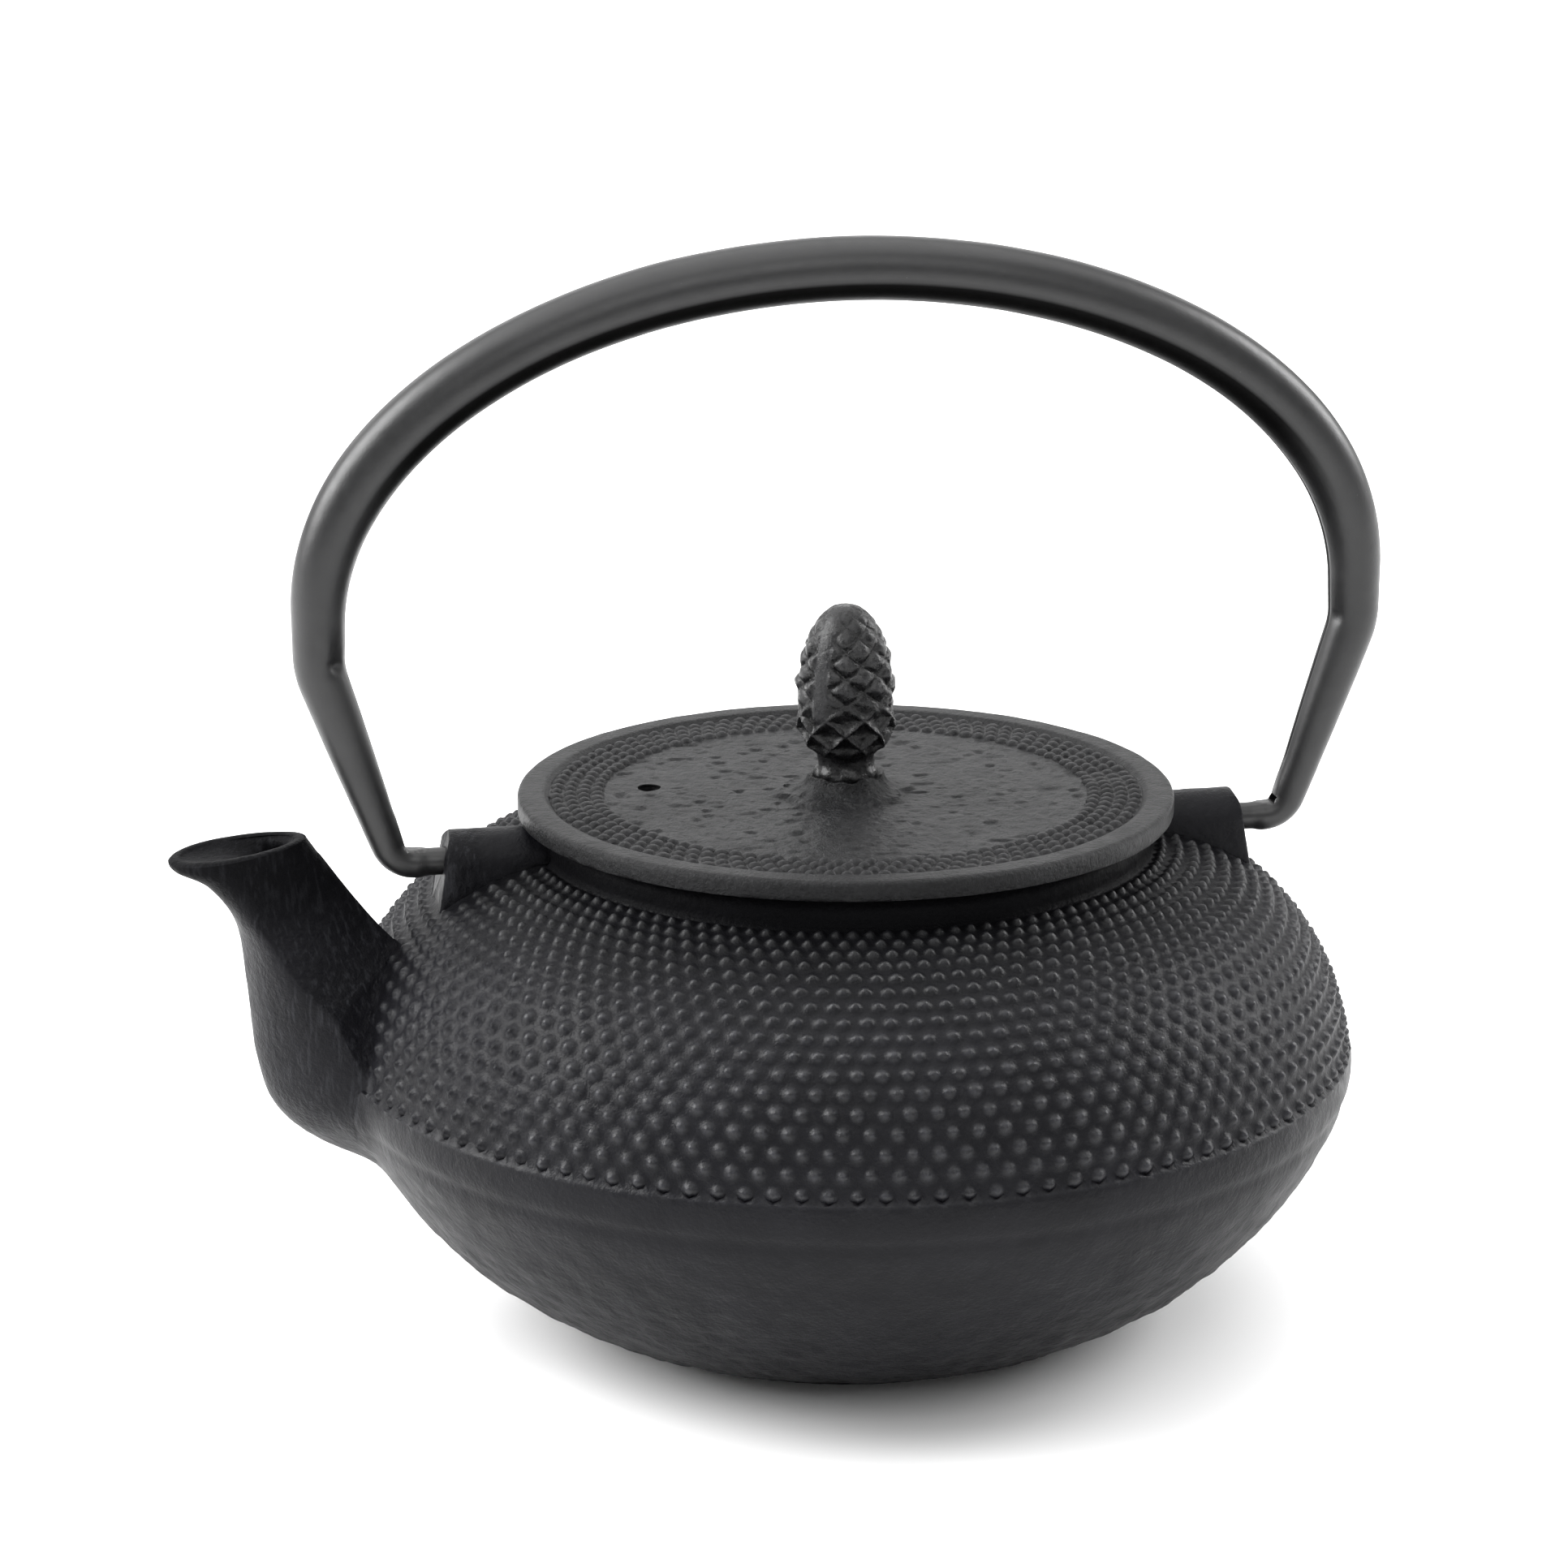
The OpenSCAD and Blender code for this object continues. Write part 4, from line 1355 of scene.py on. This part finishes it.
def lid_cast():
    n = Nodes("lid_cast")
    rough = n.attribute("rough")
    tip_wear_and_highlight = n.attribute("tip_wear_and_highlight")
    speck = n.noise(0.7, 4, roughness=0.75)
    cloud = n.noise(11, 4)
    base = n.mix(n.between(cloud, 0.35, 0.65), grey(0.005, 0.0004), grey(0.0078, 0.0006))
    grit = n.mix(n.times(rough, n.between(speck, 0.45, 0.65)), base, (0.017, 0.0175, 0.0185, 1))
    # Lighter dot tips: partly wear from handling, partly painted highlight
    tips_worn_and_highlit = n.mix(n.times(tip_wear_and_highlight, 0.5), grit, grey(0.016, 0.0015))
    n.shade("Base Color", tips_worn_and_highlit)
    n.shade("Roughness", n.between(n.noise(4, 4), 0.3, 0.7, 0.36, 0.47))
    n.shade("Specular IOR Level", 0.15)
    fine = n.bump(n.noise(0.45, 3, roughness=0.75), 0.16)
    coarse = n.times(n.noise(1.3, 4, roughness=0.7), n.math("ADD", rough, 0.3))
    n.shade("Normal", n.bump(coarse, 0.5, fine))
    return n.material


def knob_cast():
    n = Nodes("knob_cast")
    ridge = n.attribute("ridge")
    stripe = n.attribute("stripe")
    speck = n.noise(0.8, 4, roughness=0.75)
    base = n.mix(n.between(speck, 0.4, 0.65), grey(0.0035, 0.0003), grey(0.009, 0.0005))
    # Painted highlight: the scales' ridges and lumps are lighter, as where they catch the light
    ridge_highlight = n.mix(n.times(n.math("POWER", ridge, 3.0), n.between(speck, 0.35, 0.6)),
                   base, grey(0.022, 0.0015))
    n.shade("Base Color", n.mix(stripe, ridge_highlight, grey(0.011, 0.001)))
    n.shade("Roughness", n.between(speck, 0.3, 0.7, 0.22, 0.36))
    n.shade("Specular IOR Level", 0.37)
    fine = n.bump(n.noise(0.35, 3, roughness=0.75), 0.06)
    n.shade("Normal", n.bump(n.noise(1.0, 4), 0.16, fine))
    return n.material


def sheet_steel(name, colour, roughness, stretch):
    n = Nodes(name)
    brush = n.noise(0.9, 4, stretch=stretch, roughness=0.7)
    stain = n.noise(13, 4)
    dark = [c * 0.72 for c in colour] + [1]
    base = n.mix(n.between(stain, 0.35, 0.7), (*colour, 1), dark)
    n.shade("Base Color", n.mix(n.between(brush, 0.6, 0.75, 0, 0.25), base, grey(0.25)))
    n.shade("Metallic", 1)
    n.shade("Roughness", n.between(brush, 0.25, 0.75, roughness - 0.06, roughness + 0.1))
    n.shade("Normal", n.bump(brush, 0.015))
    return n.material


# ---- Studio ----

FLOOR_HALF = 6
FLOOR_GREY = 0.93
SKY_STRENGTH = 0.42
SUN_STRENGTH = 2.8
SUN_SPREAD = math.radians(80)
SUN_FROM = (-0.06, 0.12, 0.98)
# The soft boxes' places, sizes and powers
SOFT_BOXES = {
    "left_box": ((-1.22, 0.2, 0.85), (0.9, 1.0), 36),
    "right_box": ((1.25, 0.25, 0.72), (0.6, 0.8), 17),
    "back_box": ((0, 1.4, 0.62), (2.2, 0.7), 8),
    "front_box": ((0.1, -1.2, 1.0), (1.0, 0.7), 6),
}


def add_light(name, kind, place, toward):
    """A light at a place, turned so that it shines along a direction."""
    light = bpy.data.lights.new(name, kind)
    obj = bpy.data.objects.new(name, light)
    obj.location = place
    obj.rotation_euler = toward.to_track_quat("-Z", "Y").to_euler()
    bpy.context.scene.collection.objects.link(obj)
    return light


def studio():
    scene = bpy.context.scene
    scene.view_settings.view_transform = "Standard"
    floor_mesh = bpy.data.meshes.new("floor")
    corners = [(x * FLOOR_HALF, y * FLOOR_HALF, 0) for x, y in ((-1, -1), (1, -1), (1, 1), (-1, 1))]
    floor_mesh.from_pydata(corners, [], [(0, 1, 2, 3)])
    floor = bpy.data.objects.new("floor", floor_mesh)
    scene.collection.objects.link(floor)
    paper = bpy.data.materials.new("pale_floor")
    paper.use_nodes = True
    shader = paper.node_tree.nodes["Principled BSDF"]
    shader.inputs["Base Color"].default_value = grey(FLOOR_GREY)
    shader.inputs["Roughness"].default_value = 0.9
    floor_mesh.materials.append(paper)

    world = bpy.data.worlds.new("studio")
    scene.world = world
    world.use_nodes = True
    sky = world.node_tree.nodes["Background"]
    sky.inputs["Color"].default_value = grey(1)
    sky.inputs["Strength"].default_value = SKY_STRENGTH

    sun = add_light("soft_sky", "SUN", (0, 0, 0), -Vector(SUN_FROM))
    sun.energy = SUN_STRENGTH
    sun.angle = SUN_SPREAD
    for name, (place, size, power) in SOFT_BOXES.items():
        light = add_light(name, "AREA", place, Vector((0, 0, 0.06)) - Vector(place))
        light.shape = "RECTANGLE"
        light.size, light.size_y = size
        light.energy = power


# The camera's distance from the point that it goes round, and the azimuth and elevation
# of its place and of its view, in degrees
CAMERA_MM = 820
CAMERA_AT = (-11.67, 18.35)
CAMERA_LOOK = (-10.94, 15.83)
CAMERA_ROLL = -0.08
CAMERA_AIM_Z = 50
CAMERA_LENS = 115.2


def direction(azimuth, elevation):
    a, e = math.radians(azimuth), math.radians(elevation)
    return Vector((math.sin(a) * math.cos(e), -math.cos(a) * math.cos(e), math.sin(e)))


def camera():
    data = bpy.data.cameras.new("camera")
    data.lens = CAMERA_LENS
    data.sensor_width = 36
    obj = bpy.data.objects.new("camera", data)
    obj.location = (Vector((0, 0, CAMERA_AIM_Z)) + direction(*CAMERA_AT) * CAMERA_MM) * MM
    obj.rotation_euler = direction(*CAMERA_LOOK).to_track_quat("Z", "Y").to_euler()
    obj.rotation_euler.rotate_axis("Z", math.radians(CAMERA_ROLL))
    bpy.context.scene.collection.objects.link(obj)
    bpy.context.scene.camera = obj


pot_body(pot_iron())
bail_handle(bail_paint())
lid(lid_cast())
lid_knob(knob_cast())
knob_washer(sheet_steel("washer_metal", (0.5, 0.5, 0.5), 0.4, (1, 1, 4)))
brushed = sheet_steel("strainer_metal", (0.3, 0.3, 0.295), 0.36, (6, 6, 0.8))
strainer_rim(brushed)
strainer_base(brushed)
strainer_mesh(sheet_steel("mesh_metal", (0.26, 0.26, 0.26), 0.36, (1, 1, 5)))
studio()
camera()
